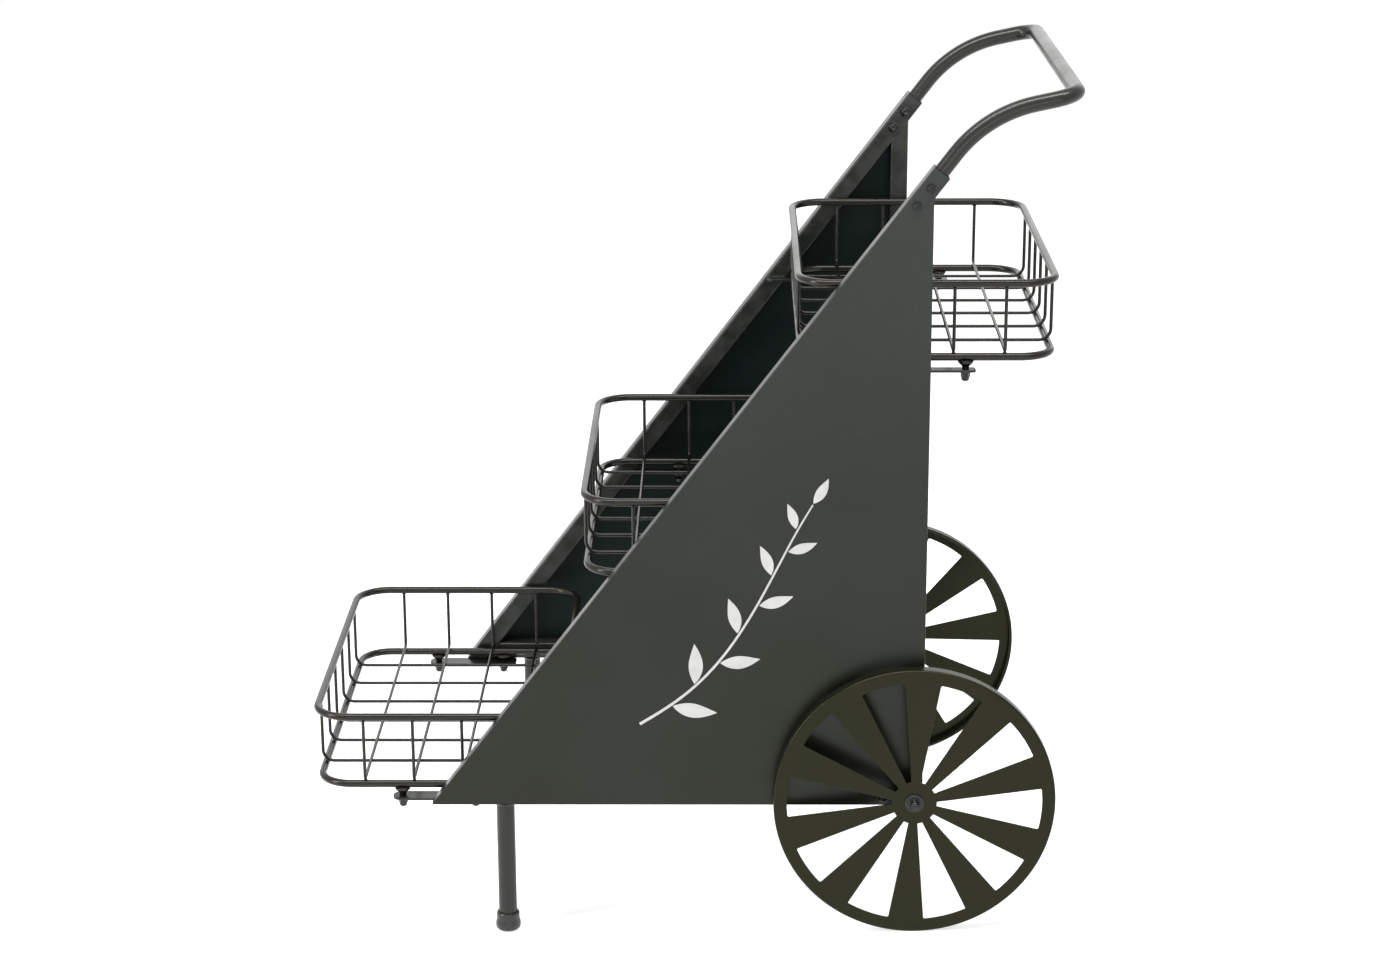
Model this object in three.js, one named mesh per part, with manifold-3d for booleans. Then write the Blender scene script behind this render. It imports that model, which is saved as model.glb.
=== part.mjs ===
// Flower cart stand: two triangular side frames carry three welded wire baskets, a bent push handle,
// two front legs and two spoked wheels on one axle. Millimetres, +Z up, handle towards +X.
//
// The cart is drawn with its axle at the origin and its lower frame edge level. It then leans back
// by the small angle that sets both its wheels and its feet on the ground.

import * as THREE from 'three';
import { mergeVertices } from 'three/addons/utils/BufferGeometryUtils.js';
import Module from 'manifold-3d';

// ---------------------------------------------------------------- driving sizes
const GAP = 0.3; // left between pieces that are welded, seated or screwed together

// Side frames: a right-angled triangle of square tube with a sheet on its outer face.
const HALF_WIDTH = 226; // middle of the cart to the outer face of a side sheet
const FRAME_LENGTH = 508; // front tip to rear edge
const FRAME_HEIGHT = 668.5; // lower edge to the top of the slope
const AXLE_RISE = 12; // axle above the lower edge
const TUBE = 19;
const TUBE_WALL = 1.2;
const TUBE_CORNER = 2;
const SHEET = 1;
const SOCKET_DEPTH = 60; // handle tube held inside the upper end of the slope tube

// Legs and feet.
const LEG_SETBACK = 75.5; // behind the front tip
const LEG_DROP = 145; // lower frame edge to the ground, along the leg
const LEG_RADIUS = 9.5;
const LEG_WALL = 1.5;
const FOOT_RADIUS = 13;
const FOOT_HEIGHT = 20;
const FOOT_FLOOR = 4;
const FOOT_WALL = 2.2; // at the lip round the leg
const FOOT_WIDE = 7; // height up to which the foot keeps its full radius
const FOOT_WAIST = 12; // height from which the lip is straight
const FOOT_BEVEL = 2; // round the tread
const LIP_BEVEL = 1;

// Handle: round tube, one long bend in each arm and a cross grip with rounded corners.
const HANDLE_RADIUS = 8;
const HANDLE_WALL = 1.4;
const HANDLE_STRAIGHT = 22; // from the socket to the start of the long bend
const HANDLE_BEND = 130;
const HANDLE_RISE_DEG = 12; // slope of the arms behind the long bend
const GRIP_X = 148;
const GRIP_CORNER = 24;

// Handle screws: two through each socket, heads with a wide collar inside, nuts outside.
const SOCKET_SCREW_RADIUS = 2.5;
const SOCKET_SCREW_FIRST = 18.5; // from the open end of the socket
const SOCKET_SCREW_PITCH = 22;
const SOCKET_HEAD_RADIUS = 4.6;
const SOCKET_HEAD_HEIGHT = 2.6;
const SOCKET_COLLAR_RADIUS = 5.9;
const SOCKET_COLLAR = 1;
const SOCKET_NUT_RADIUS = 4.6; // across the corners of the hexagon
const SOCKET_NUT_HEIGHT = 3;

// Baskets: a thick wire rim and lower ring joined by thin U-shaped wires.
const BASKET_LENGTH = 264; // outside, along X
const BASKET_CLEARANCE = 1.7; // rim to the frame tubes, on each side
const BASKET_DEPTH = 75.5; // rim to ring, centre to centre
const RIM_RADIUS = 4;
const RIM_CORNER = 36; // bend of the rim's centre line
const RING_INSET = 2.5; // the ring is this much smaller on each side
const WIRE_RADIUS = 1.75;
const WIRE_BEND = 12;
const WELD_SINK = 0.8; // how far crossing wires sink into each other where they are welded
const CROSS_WIRES = 4;
const LONG_WIRES = 6;

// Where the baskets hang: the rim above the lower frame edge, or the top one's below the top of the
// slope, and the basket's middle behind the outer edge of the slope at the height of its bars.
const BOTTOM_RIM_RISE = 87.2;
const BOTTOM_SETBACK = 7.1;
const MIDDLE_RIM_RISE = 320.5;
const MIDDLE_SETBACK = 112.8;
const TOP_RIM_DROP = 121;
const TOP_SETBACK = 158.8;

// Basket supports: a flat bar inside each frame, and studs under the ring that bolt to it.
const BAR_WIDTH = 13;
const BAR_THICKNESS = 2.5;
const BAR_END = 10; // bar past its last stud
const BAR_SETBACK = 4; // bar end to the outer edge of the slope tube
const LOW_BAR_WIDTH = 20;
const LOW_BAR_END = 15; // lowest bar past its rear stud, welded under the bottom tube
const LOW_BAR_LAP = 3; // width of that weld
const STUD_OFFSET = 38; // from the basket's middle, fore and aft
const STUD_DROP = 12; // ring centre to the top of the bar
const STUD_RADIUS = 2.5;
const STUD_FLARE = 8;
const STUD_NECK = 3.6;
const STUD_EDGE = 2; // thickness of the flare at its rim
const STUD_SINK = 1; // how far a stud's flare sinks into the ring where it is welded
const CAP_NUT_RADIUS = 4.8;
const CAP_NUT_FLANGE = 6;
const CAP_NUT_HEIGHT = 11;
const CAP_NUT_BORE = 7; // depth of its blind bore

// Rear cross bar between the side frames, close to the axle.
const CROSS_BAR_X = -29.5;
const CROSS_BAR_RISE = 8; // above the lower frame edge
const CROSS_BAR_RADIUS = 7.5;
const CROSS_BAR_WALL = 1.5;
const CROSS_BAR_PLUG = 14; // threaded plug in each end
const CROSS_SCREW_RADIUS = 3;
const CROSS_SCREW_LENGTH = 34;
const CROSS_HEAD_RADIUS = 5;
const CROSS_HEAD_HEIGHT = 2.8;
const CROSS_COLLAR_RADIUS = 6;
const CROSS_COLLAR = 0.8;

// Wheels: a pressed spoked disc with a deep rim band, on a hub sleeve.
const WHEEL_RADIUS = 145;
const WHEEL_OFFSET = 23; // sheet to the outer face of the disc
const DISC = 2;
const BAND_WIDTH = 14; // rim band, with the disc at its outer edge
const BAND_WALL = 2;
const SPOKES = 10;
const SPOKE_INNER_WIDTH = 9.4;
const SPOKE_OUTER_WIDTH = 36.6;
const WINDOW_INNER = 23;
const WINDOW_OUTER = 131;
const NEAR_PHASE_DEG = 15; // direction of one spoke, from +X towards +Z
const FAR_PHASE_DEG = 6;
const HUB_RADIUS = 8;
const HUB_SIDE_PLAY = 0.5; // hub sleeve to side sheet

// Axle: one rod with reduced threaded ends, a washer and a cap nut outside each wheel.
const AXLE_RADIUS = 4;
const AXLE_PLAY = 0.4; // between rod and hub sleeve
const AXLE_THREAD_RADIUS = 3;
const AXLE_WASHER_RADIUS = 10;
const AXLE_WASHER = 1.5;
const AXLE_NUT_RADIUS = 5.6;
const AXLE_NUT_FLANGE = 6.6;
const AXLE_NUT_HEIGHT = 9.5;
const AXLE_NUT_BORE = 6.5;
const NUT_FLANGE_THICKNESS = 1.5; // of both kinds of cap nut

// Facets.
const WHEEL_SIDES = 48;
const ROUND_SIDES = 16;
const TUBE_SIDES = 12;
const BORE_SIDES = 10;
const RIM_SIDES = 8;
const WIRE_SIDES = 5;
const SMALL_SIDES = 8;
const HEXAGON = 6;
const HANDLE_ARC = 5; // sections round each bend
const RIM_ARC = 4;
const WIRE_ARC = 3;
const TUBE_ARC = 2; // steps round each corner of a square tube
const WINDOW_ARC = 5; // steps along the outer end of a wheel opening

// ---------------------------------------------------------------- places worked out from the sizes
const radians = THREE.MathUtils.degToRad;
const REAR_X = TUBE / 2; // the upright tube stands over the axle
const LOW_Z = -AXLE_RISE;
const SLOPE = Math.atan2(FRAME_HEIGHT, FRAME_LENGTH);
const ALONG = new THREE.Vector3(Math.cos(SLOPE), 0, Math.sin(SLOPE)); // up the slope
const UNDER = new THREE.Vector3(Math.sin(SLOPE), 0, -Math.cos(SLOPE)); // square to it, inwards
const TIP = new THREE.Vector3(REAR_X - FRAME_LENGTH, 0, LOW_Z);
const APEX = new THREE.Vector3(REAR_X, 0, LOW_Z + FRAME_HEIGHT);
const FRAME_Y = HALF_WIDTH - SHEET - GAP - TUBE / 2; // middle plane of a side frame
const INNER_Y = FRAME_Y - TUBE / 2; // inner faces of its tubes
const SOCKET_MOUTH = APEX.clone().addScaledVector(UNDER, TUBE / 2);
const WHEEL_Y = HALF_WIDTH + WHEEL_OFFSET; // outer face of a wheel
const LEG_X = TIP.x + LEG_SETBACK;
const LEG_BOTTOM = new THREE.Vector3(LEG_X, 0, LOW_Z - LEG_DROP);
const LEG_REACH = Math.hypot(LEG_BOTTOM.x, LEG_BOTTOM.z);
const LEAN = Math.atan2(-LEG_BOTTOM.z, -LEG_BOTTOM.x) - Math.asin(WHEEL_RADIUS / LEG_REACH);
const GROUND = new THREE.Vector3(Math.sin(LEAN), 0, -Math.cos(LEAN)); // straight down, on the cart

const RIM_HALF_X = BASKET_LENGTH / 2 - RIM_RADIUS;
const RIM_HALF_Y = INNER_Y - BASKET_CLEARANCE - RIM_RADIUS;
const RING_HALF_Y = RIM_HALF_Y - RING_INSET;
const WIRE_REACH = RIM_RADIUS + WIRE_RADIUS + GAP; // ring centre to the wire that rests on it
const WIRE_SEAT = Math.sqrt((WIRE_BEND + WIRE_REACH) ** 2 - (WIRE_BEND - RING_INSET) ** 2) - WIRE_BEND;

// A basket's middle, its rim, the underside of its bars and the slope's outer edge at that height.
function hung(name, rimRise, setback) {
  const rimZ = LOW_Z + rimRise;
  const barZ = rimZ - BASKET_DEPTH - STUD_DROP - BAR_THICKNESS;
  const slopeX = APEX.x - (APEX.z - barZ) / Math.tan(SLOPE);
  return { name, x: slopeX + setback, rimZ, barZ, slopeX };
}

const BASKETS = [
  hung('bottom_basket', BOTTOM_RIM_RISE, BOTTOM_SETBACK),
  hung('middle_basket', MIDDLE_RIM_RISE, MIDDLE_SETBACK),
  hung('top_basket', FRAME_HEIGHT - TOP_RIM_DROP, TOP_SETBACK),
];

// ---------------------------------------------------------------- finishes
function finish(color, roughness, metalness) {
  return new THREE.MeshStandardMaterial({ color, roughness, metalness });
}

const PANEL_COAT = finish(0x454a45, 0.5, 0.25);
const FRAME_COAT = finish(0x40443f, 0.45, 0.3);
const WIRE_COAT = finish(0x3b3c39, 0.35, 0.4);
const HANDLE_COAT = finish(0x3f403d, 0.35, 0.4);
const WHEEL_COAT = finish(0x3c3d33, 0.5, 0.25);
const FASTENER = finish(0x2f302e, 0.35, 0.7);
const RUBBER = finish(0x2e2f2b, 0.75, 0);

// ---------------------------------------------------------------- solids and cuts
const library = await Module();
library.setup();

// Position-only geometry with shared vertices and no collapsed triangles.
function welded(geometry) {
  const bare = new THREE.BufferGeometry();
  bare.setAttribute('position', geometry.getAttribute('position'));
  bare.setIndex(geometry.getIndex());
  const merged = mergeVertices(bare, 1e-4);
  const corners = merged.getIndex().array;
  const kept = [];
  for (let i = 0; i < corners.length; i += 3) {
    const [a, b, c] = corners.slice(i, i + 3);
    if (a !== b && b !== c && c !== a) kept.push(a, b, c);
  }
  merged.setIndex(kept);
  return merged;
}

function toSolid(geometry) {
  const shape = welded(geometry);
  return new library.Manifold(new library.Mesh({
    numProp: 3,
    vertProperties: new Float32Array(shape.getAttribute('position').array),
    triVerts: new Uint32Array(shape.getIndex().array),
  }));
}

function toGeometry(solid) {
  const surface = solid.getMesh();
  const result = new THREE.BufferGeometry();
  result.setAttribute('position', new THREE.BufferAttribute(new Float32Array(surface.vertProperties), 3));
  result.setIndex(new THREE.BufferAttribute(new Uint32Array(surface.triVerts), 1));
  return result;
}

function cut(geometry, tools) {
  return toGeometry(tools.reduce((solid, tool) => solid.subtract(toSolid(tool)), toSolid(geometry)));
}

// Pieces that are welded or pressed into one solid.
function together(geometries) {
  return toGeometry(geometries.map(toSolid).reduce((solid, next) => solid.add(next)));
}

function mesh(name, geometry, material, x = 0, y = 0, z = 0) {
  const piece = new THREE.Mesh(geometry, material);
  piece.name = name;
  piece.position.set(x, y, z);
  return piece;
}

// A cutter that takes away all that lies past a point in a direction in the XZ plane.
function beyond(point, direction) {
  const size = 2 * (FRAME_LENGTH + FRAME_HEIGHT);
  const block = new THREE.BoxGeometry(size, size, size).translate(0, 0, size / 2);
  block.rotateY(Math.atan2(direction.x, direction.z));
  return block.translate(point.x, point.y, point.z);
}

// Turned about Z from a profile of [radius, height] pairs, listed up its outside.
function turned(profile, sides) {
  const points = profile.map(([radius, height]) => new THREE.Vector2(radius, height));
  return new THREE.LatheGeometry(points, sides).rotateX(Math.PI / 2);
}

// Radius of a faceted bore whose flats clear a given radius.
function clearing(radius, sides) {
  return radius / Math.cos(Math.PI / sides);
}

function sleeve(outer, clear, low, high, sides) {
  const inner = clearing(clear, sides);
  return turned([[inner, low], [outer, low], [outer, high], [inner, high], [inner, low]], sides);
}

// A plain pin along Y, for bores through the frames.
function borer(radius, x, z) {
  const pin = new THREE.CylinderGeometry(radius, radius, 4 * TUBE, BORE_SIDES);
  return pin.translate(x, 0, z);
}

// Turns a shape drawn up +Z so that it points outwards on one side of the cart.
function outwards(geometry, side) {
  return geometry.rotateX((-side * Math.PI) / 2);
}

// A flat plate standing in the XZ plane, centred on y = 0.
function plate(shape, thickness) {
  const geometry = new THREE.ExtrudeGeometry(shape, { depth: thickness, bevelEnabled: false });
  return geometry.translate(0, 0, -thickness / 2).rotateX(Math.PI / 2);
}

function polygonOf(points) {
  return new THREE.Shape(points.map((point) => new THREE.Vector2(point.x, point.z)));
}

function circlePoints(radius, sides, x = 0, y = 0) {
  return Array.from({ length: sides }, (_, i) => {
    const angle = (2 * Math.PI * i) / sides;
    return new THREE.Vector2(x + radius * Math.cos(angle), y + radius * Math.sin(angle));
  });
}

// ---------------------------------------------------------------- bent tubes and wires
// A route of straight runs whose corners are rounded, with one section at each end of each run
// and arcSteps sections round each bend.
class BentPath extends THREE.Curve {
  constructor(corners, radii, arcSteps, closed = false) {
    super();
    this.places = [];
    this.directions = [];
    const last = corners.length - 1;
    corners.forEach((corner, i) => {
      const before = corners[i === 0 ? last : i - 1];
      const after = corners[i === last ? 0 : i + 1];
      const into = corner.clone().sub(before).normalize();
      const outOf = after.clone().sub(corner).normalize();
      if (!closed && i === 0) this.addSection(corner, outOf);
      else if (!closed && i === last) this.addSection(corner, into);
      else this.addBend(corner, into, outOf, radii[i], arcSteps);
    });
    this.steps = closed ? this.places.length : this.places.length - 1;
  }

  addSection(place, direction) {
    this.places.push(place.clone());
    this.directions.push(direction.clone());
  }

  addBend(corner, into, outOf, radius, arcSteps) {
    const turn = into.angleTo(outOf);
    const side = outOf.clone().addScaledVector(into, -Math.cos(turn)).normalize();
    const start = corner.clone().addScaledVector(into, -radius * Math.tan(turn / 2));
    for (let k = 0; k <= arcSteps; k += 1) {
      const angle = (turn * k) / arcSteps;
      const place = start.clone()
        .addScaledVector(into, radius * Math.sin(angle))
        .addScaledVector(side, radius * (1 - Math.cos(angle)));
      const direction = into.clone().multiplyScalar(Math.cos(angle));
      this.addSection(place, direction.addScaledVector(side, Math.sin(angle)));
    }
  }

  section(t) {
    return Math.round(t * this.steps) % this.places.length;
  }

  getPoint(t, target = new THREE.Vector3()) {
    return target.copy(this.places[this.section(t)]);
  }

  getPointAt(u, target) {
    return this.getPoint(u, target);
  }

  getTangentAt(u, target = new THREE.Vector3()) {
    return target.copy(this.directions[this.section(u)]);
  }
}

function bentTube(path, radius, sides, bore = 0) {
  const shape = new THREE.Shape(circlePoints(radius, sides));
  if (bore > 0) shape.holes.push(new THREE.Path(circlePoints(bore, SMALL_SIDES).reverse()));
  return new THREE.ExtrudeGeometry(shape, { extrudePath: path, steps: path.steps, bevelEnabled: false });
}

function closedTube(path, radius, sides) {
  return new THREE.TubeGeometry(path, path.steps, radius, sides, true);
}

// ---------------------------------------------------------------- square frame tube
function roundedSquare(half, corner, arcSteps) {
  const points = [];
  for (let quarter = 0; quarter < 4; quarter += 1) {
    for (let k = 0; k <= arcSteps; k += 1) {
      const angle = (Math.PI / 2) * (quarter + k / arcSteps);
      const middle = Math.PI * (quarter / 2 + 1 / 4);
      const reach = Math.SQRT2 * (half - corner);
      points.push(new THREE.Vector2(
        reach * Math.cos(middle) + corner * Math.cos(angle),
        reach * Math.sin(middle) + corner * Math.sin(angle),
      ));
    }
  }
  return points;
}

// A hollow square tube in the XZ plane from one point to another.
function frameTube(from, to) {
  const shape = new THREE.Shape(roundedSquare(TUBE / 2, TUBE_CORNER, TUBE_ARC));
  shape.holes.push(new THREE.Path(circlePoints((TUBE / 2 - TUBE_WALL) * Math.SQRT2, 4)
    .map((point) => point.rotateAround(new THREE.Vector2(), Math.PI / 4))
    .reverse()));
  const run = to.clone().sub(from);
  const tube = new THREE.ExtrudeGeometry(shape, { depth: run.length(), bevelEnabled: false });
  return tube.rotateY(Math.atan2(run.x, run.z)).translate(from.x, from.y, from.z);
}

// ---------------------------------------------------------------- side frames
function socketScrewPlaces() {
  return [0, 1].map((i) => {
    const down = SOCKET_SCREW_FIRST + i * SOCKET_SCREW_PITCH;
    return SOCKET_MOUTH.clone().addScaledVector(ALONG, -down);
  });
}

function socketBores(radius) {
  return socketScrewPlaces().map((place) => borer(radius, place.x, place.z));
}

function crossScrewBore() {
  return borer(CROSS_SCREW_RADIUS + GAP, CROSS_BAR_X, LOW_Z + CROSS_BAR_RISE);
}

function sideSheet(name, side) {
  const rearTop = APEX.clone().addScaledVector(UNDER, TUBE);
  rearTop.addScaledVector(ALONG, -(TUBE * UNDER.x) / ALONG.x);
  const socketCorner = APEX.clone().addScaledVector(UNDER, TUBE);
  const rearLow = new THREE.Vector3(REAR_X, 0, LOW_Z);
  const sheet = plate(polygonOf([TIP, rearLow, rearTop, socketCorner, APEX]), SHEET);
  const bores = [
    borer(AXLE_RADIUS + GAP, 0, 0),
    crossScrewBore(),
    ...socketBores(SOCKET_SCREW_RADIUS + GAP),
  ];
  return mesh(name, cut(sheet, bores), PANEL_COAT, 0, side * (HALF_WIDTH - SHEET / 2), 0);
}

function slopeTube(name, side) {
  const from = TIP.clone().addScaledVector(UNDER, TUBE / 2).addScaledVector(ALONG, -2 * TUBE);
  const below = beyond(TIP, new THREE.Vector3(0, 0, -1));
  const tube = cut(frameTube(from, SOCKET_MOUTH), [below, ...socketBores(SOCKET_SCREW_RADIUS + GAP)]);
  return mesh(name, tube, FRAME_COAT, 0, side * FRAME_Y, 0);
}

// All above the line where the other two tubes meet the underside of the slope tube.
function slopeCutter() {
  return beyond(TIP.clone().addScaledVector(UNDER, TUBE + GAP), UNDER.clone().negate());
}

function bottomTube(name, side) {
  const middle = LOW_Z + TUBE / 2;
  const from = new THREE.Vector3(TIP.x, 0, middle);
  const to = new THREE.Vector3(-TUBE / 2 - GAP, 0, middle);
  const tube = cut(frameTube(from, to), [slopeCutter(), crossScrewBore()]);
  return mesh(name, tube, FRAME_COAT, 0, side * FRAME_Y, 0);
}

function uprightTube(name, side) {
  const from = new THREE.Vector3(0, 0, LOW_Z);
  const to = new THREE.Vector3(0, 0, LOW_Z + FRAME_HEIGHT);
  const tube = cut(frameTube(from, to), [slopeCutter(), borer(AXLE_RADIUS + GAP, 0, 0)]);
  return mesh(name, tube, FRAME_COAT, 0, side * FRAME_Y, 0);
}

// ---------------------------------------------------------------- legs
function leg(name, side) {
  const top = LOW_Z - GAP;
  const bottom = LEG_BOTTOM.z + FOOT_FLOOR + GAP;
  const tube = sleeve(LEG_RADIUS, LEG_RADIUS - LEG_WALL, bottom, top, ROUND_SIDES);
  return mesh(name, tube, FRAME_COAT, LEG_X, side * FRAME_Y, 0);
}

// A cup round the end of the leg, flared to the ground and cut flat where it stands.
function footCap(name, side) {
  const lip = LEG_RADIUS + GAP + FOOT_WALL;
  const bore = LEG_RADIUS + GAP;
  const spare = 2;
  const cup = turned([
    [0, -spare],
    [FOOT_RADIUS - FOOT_BEVEL, -spare],
    [FOOT_RADIUS, FOOT_BEVEL],
    [FOOT_RADIUS, FOOT_WIDE],
    [lip, FOOT_WAIST],
    [lip, FOOT_HEIGHT - LIP_BEVEL],
    [lip - LIP_BEVEL, FOOT_HEIGHT],
    [bore, FOOT_HEIGHT],
    [bore, FOOT_FLOOR],
    [0, FOOT_FLOOR],
  ], ROUND_SIDES).translate(LEG_BOTTOM.x, 0, LEG_BOTTOM.z);
  return mesh(name, cut(cup, [beyond(LEG_BOTTOM, GROUND)]), RUBBER, 0, side * FRAME_Y, 0);
}

// ---------------------------------------------------------------- handle
function handle() {
  const rise = radians(HANDLE_RISE_DEG);
  const bend = HANDLE_BEND * Math.tan((SLOPE - rise) / 2);
  const inSocket = SOCKET_MOUTH.clone().addScaledVector(ALONG, -SOCKET_DEPTH);
  const elbow = SOCKET_MOUTH.clone().addScaledVector(ALONG, HANDLE_STRAIGHT + bend);
  const grip = new THREE.Vector3(GRIP_X, 0, elbow.z + (GRIP_X - elbow.x) * Math.tan(rise));
  const arm = [inSocket, elbow, grip];
  const near = arm.map((point) => point.clone().setY(-FRAME_Y));
  const far = arm.map((point) => point.clone().setY(FRAME_Y)).reverse();
  const radii = [0, HANDLE_BEND, GRIP_CORNER, GRIP_CORNER, HANDLE_BEND, 0];
  const path = new BentPath([...near, ...far], radii, HANDLE_ARC);
  const tube = bentTube(path, HANDLE_RADIUS, TUBE_SIDES, HANDLE_RADIUS - HANDLE_WALL);
  const bores = [-FRAME_Y, FRAME_Y].flatMap((y) => socketBores(SOCKET_SCREW_RADIUS + GAP)
    .map((bore) => bore.translate(0, y, 0)));
  return mesh('handle', cut(tube, bores), HANDLE_COAT);
}

// A button head with a collar under it, at the low end of a plain shank.
function buttonScrew({ head, headHeight, collar, collarHeight, shank, seat, length }, sides) {
  const crownRadius = 0.6 * head;
  const crownHeight = 0.9 * headHeight;
  return turned([
    [0, seat - collarHeight - headHeight],
    [crownRadius, seat - collarHeight - crownHeight],
    [head, seat - collarHeight],
    [collar, seat - collarHeight],
    [collar, seat],
    [shank, seat],
    [shank, seat + length],
    [0, seat + length],
  ], sides);
}

function handleFasteners(label, side) {
  const seat = INNER_Y - GAP;
  const nutLow = HALF_WIDTH + GAP;
  const nutHigh = nutLow + SOCKET_NUT_HEIGHT;
  const screw = () => buttonScrew({
    head: SOCKET_HEAD_RADIUS,
    headHeight: SOCKET_HEAD_HEIGHT,
    collar: SOCKET_COLLAR_RADIUS,
    collarHeight: SOCKET_COLLAR,
    shank: SOCKET_SCREW_RADIUS,
    seat,
    length: nutHigh - seat,
  }, BORE_SIDES);
  const nut = () => sleeve(SOCKET_NUT_RADIUS, SOCKET_SCREW_RADIUS + GAP, nutLow, nutHigh, HEXAGON);
  return socketScrewPlaces().flatMap((place, i) => {
    const which = `${label}_handle_${['upper', 'lower'][i]}`;
    return [
      mesh(`${which}_screw`, outwards(screw(), side), FASTENER, place.x, 0, place.z),
      mesh(`${which}_nut`, outwards(nut(), side), FASTENER, place.x, 0, place.z),
    ];
  });
}

// ---------------------------------------------------------------- baskets
function rectangle(halfX, halfY) {
  return [
    new THREE.Vector3(halfX, -halfY, 0),
    new THREE.Vector3(halfX, halfY, 0),
    new THREE.Vector3(-halfX, halfY, 0),
    new THREE.Vector3(-halfX, -halfY, 0),
  ];
}

function roundedLoop(inset) {
  const corner = RIM_CORNER - inset;
  const outline = rectangle(RIM_HALF_X - inset, RIM_HALF_Y - inset);
  const path = new BentPath(outline, [corner, corner, corner, corner], RIM_ARC, true);
  return closedTube(path, RIM_RADIUS, RIM_SIDES);
}

// A U of thin wire: down from the rim, across the floor of the basket and up again.
function uWire(reach, floor, placeAt) {
  const top = -RIM_RADIUS - GAP;
  const corners = [
    placeAt(-reach, top),
    placeAt(-reach, floor),
    placeAt(reach, floor),
    placeAt(reach, top),
  ];
  const path = new BentPath(corners, [0, WIRE_BEND, WIRE_BEND, 0], WIRE_ARC);
  return bentTube(path, WIRE_RADIUS, WIRE_SIDES);
}

// Wires along X and wires along Y, spread evenly and welded to one another where they cross.
function basketWires() {
  const pitchY = (2 * RIM_HALF_Y) / (LONG_WIRES + 1);
  const pitchX = (2 * RIM_HALF_X) / (CROSS_WIRES + 1);
  const longFloor = -BASKET_DEPTH + WIRE_SEAT;
  const crossFloor = longFloor + 2 * WIRE_RADIUS - WELD_SINK;
  const long = Array.from({ length: LONG_WIRES }, (_, i) => {
    const y = pitchY * (i - (LONG_WIRES - 1) / 2);
    return uWire(RIM_HALF_X, longFloor, (along, z) => new THREE.Vector3(along, y, z));
  });
  const cross = Array.from({ length: CROSS_WIRES }, (_, i) => {
    const x = pitchX * (i - (CROSS_WIRES - 1) / 2);
    return uWire(RIM_HALF_Y, crossFloor, (along, z) => new THREE.Vector3(x, along, z));
  });
  return together([...long, ...cross]);
}

// The four places under the ring where a basket is bolted to its bars.
function studPlaces() {
  return [-1, 1].flatMap((fore) => [-1, 1].map((side) => (
    new THREE.Vector3(fore * STUD_OFFSET, side * RING_HALF_Y, -BASKET_DEPTH)
  )));
}

// A flared boss welded under the ring, with a threaded end that goes through the bar.
function stud() {
  const flareTop = -RIM_RADIUS + STUD_SINK;
  const seat = -STUD_DROP + GAP;
  const end = -STUD_DROP - BAR_THICKNESS - CAP_NUT_BORE;
  return turned([
    [0, end],
    [STUD_RADIUS, end],
    [STUD_RADIUS, seat],
    [STUD_NECK, seat],
    [STUD_FLARE, flareTop - STUD_EDGE],
    [STUD_FLARE, flareTop],
    [0, flareTop],
  ], SMALL_SIDES);
}

function basketRing() {
  const ring = roundedLoop(RING_INSET).translate(0, 0, -BASKET_DEPTH);
  return together([ring, ...studPlaces().map(({ x, y, z }) => stud().translate(x, y, z))]);
}

// A flanged nut with a domed, closed end below. Its open face is at z = 0.
function capNut({ body, flange, height, thread, boreDepth }) {
  const bore = clearing(thread + GAP, SMALL_SIDES);
  const crownRadius = 0.65 * body;
  const crownHeight = 0.88 * height;
  const shoulder = 0.62 * height;
  return turned([
    [0, -height],
    [crownRadius, -crownHeight],
    [body, -shoulder],
    [body, -NUT_FLANGE_THICKNESS],
    [flange, -NUT_FLANGE_THICKNESS],
    [flange, 0],
    [bore, 0],
    [bore, -boreDepth - GAP],
    [0, -boreDepth - GAP],
  ], SMALL_SIDES);
}

function studNut() {
  return capNut({
    body: CAP_NUT_RADIUS,
    flange: CAP_NUT_FLANGE,
    height: CAP_NUT_HEIGHT,
    thread: STUD_RADIUS,
    boreDepth: CAP_NUT_BORE,
  }).translate(0, 0, -STUD_DROP - BAR_THICKNESS - GAP);
}

function basket({ name, x, rimZ }) {
  const place = new THREE.Group();
  place.position.set(x, 0, rimZ);
  place.add(
    mesh(`${name}_rim`, roundedLoop(0), WIRE_COAT),
    mesh(`${name}_ring`, basketRing(), WIRE_COAT),
    mesh(`${name}_wires`, basketWires(), WIRE_COAT),
    ...studPlaces().map((stand, i) => (
      mesh(`${name}_cap_nut_${i + 1}`, studNut(), FASTENER, stand.x, stand.y, stand.z)
    )),
  );
  return place;
}

// ---------------------------------------------------------------- support bars
// A bar's outline from above, its outer edge against the inner faces of the tubes. The lowest bar is
// wider, lies under the bottom tube by its lap and ends there; the others run to the upright.
function barOutline({ x, barZ, slopeX }) {
  const isLowest = barZ < LOW_Z;
  const beside = INNER_Y - GAP;
  const outer = isLowest ? beside + LOW_BAR_LAP : beside;
  const inner = outer - (isLowest ? LOW_BAR_WIDTH : BAR_WIDTH);
  const front = Math.min(slopeX + BAR_SETBACK, x - STUD_OFFSET - BAR_END);
  const rear = isLowest ? x + STUD_OFFSET + LOW_BAR_END : Math.max(REAR_X, x + STUD_OFFSET + BAR_END);
  return [[front, inner], [rear, inner], [rear, outer], [front, outer]].map(([alongX, alongY]) => (
    new THREE.Vector2(alongX, alongY)
  ));
}

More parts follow.
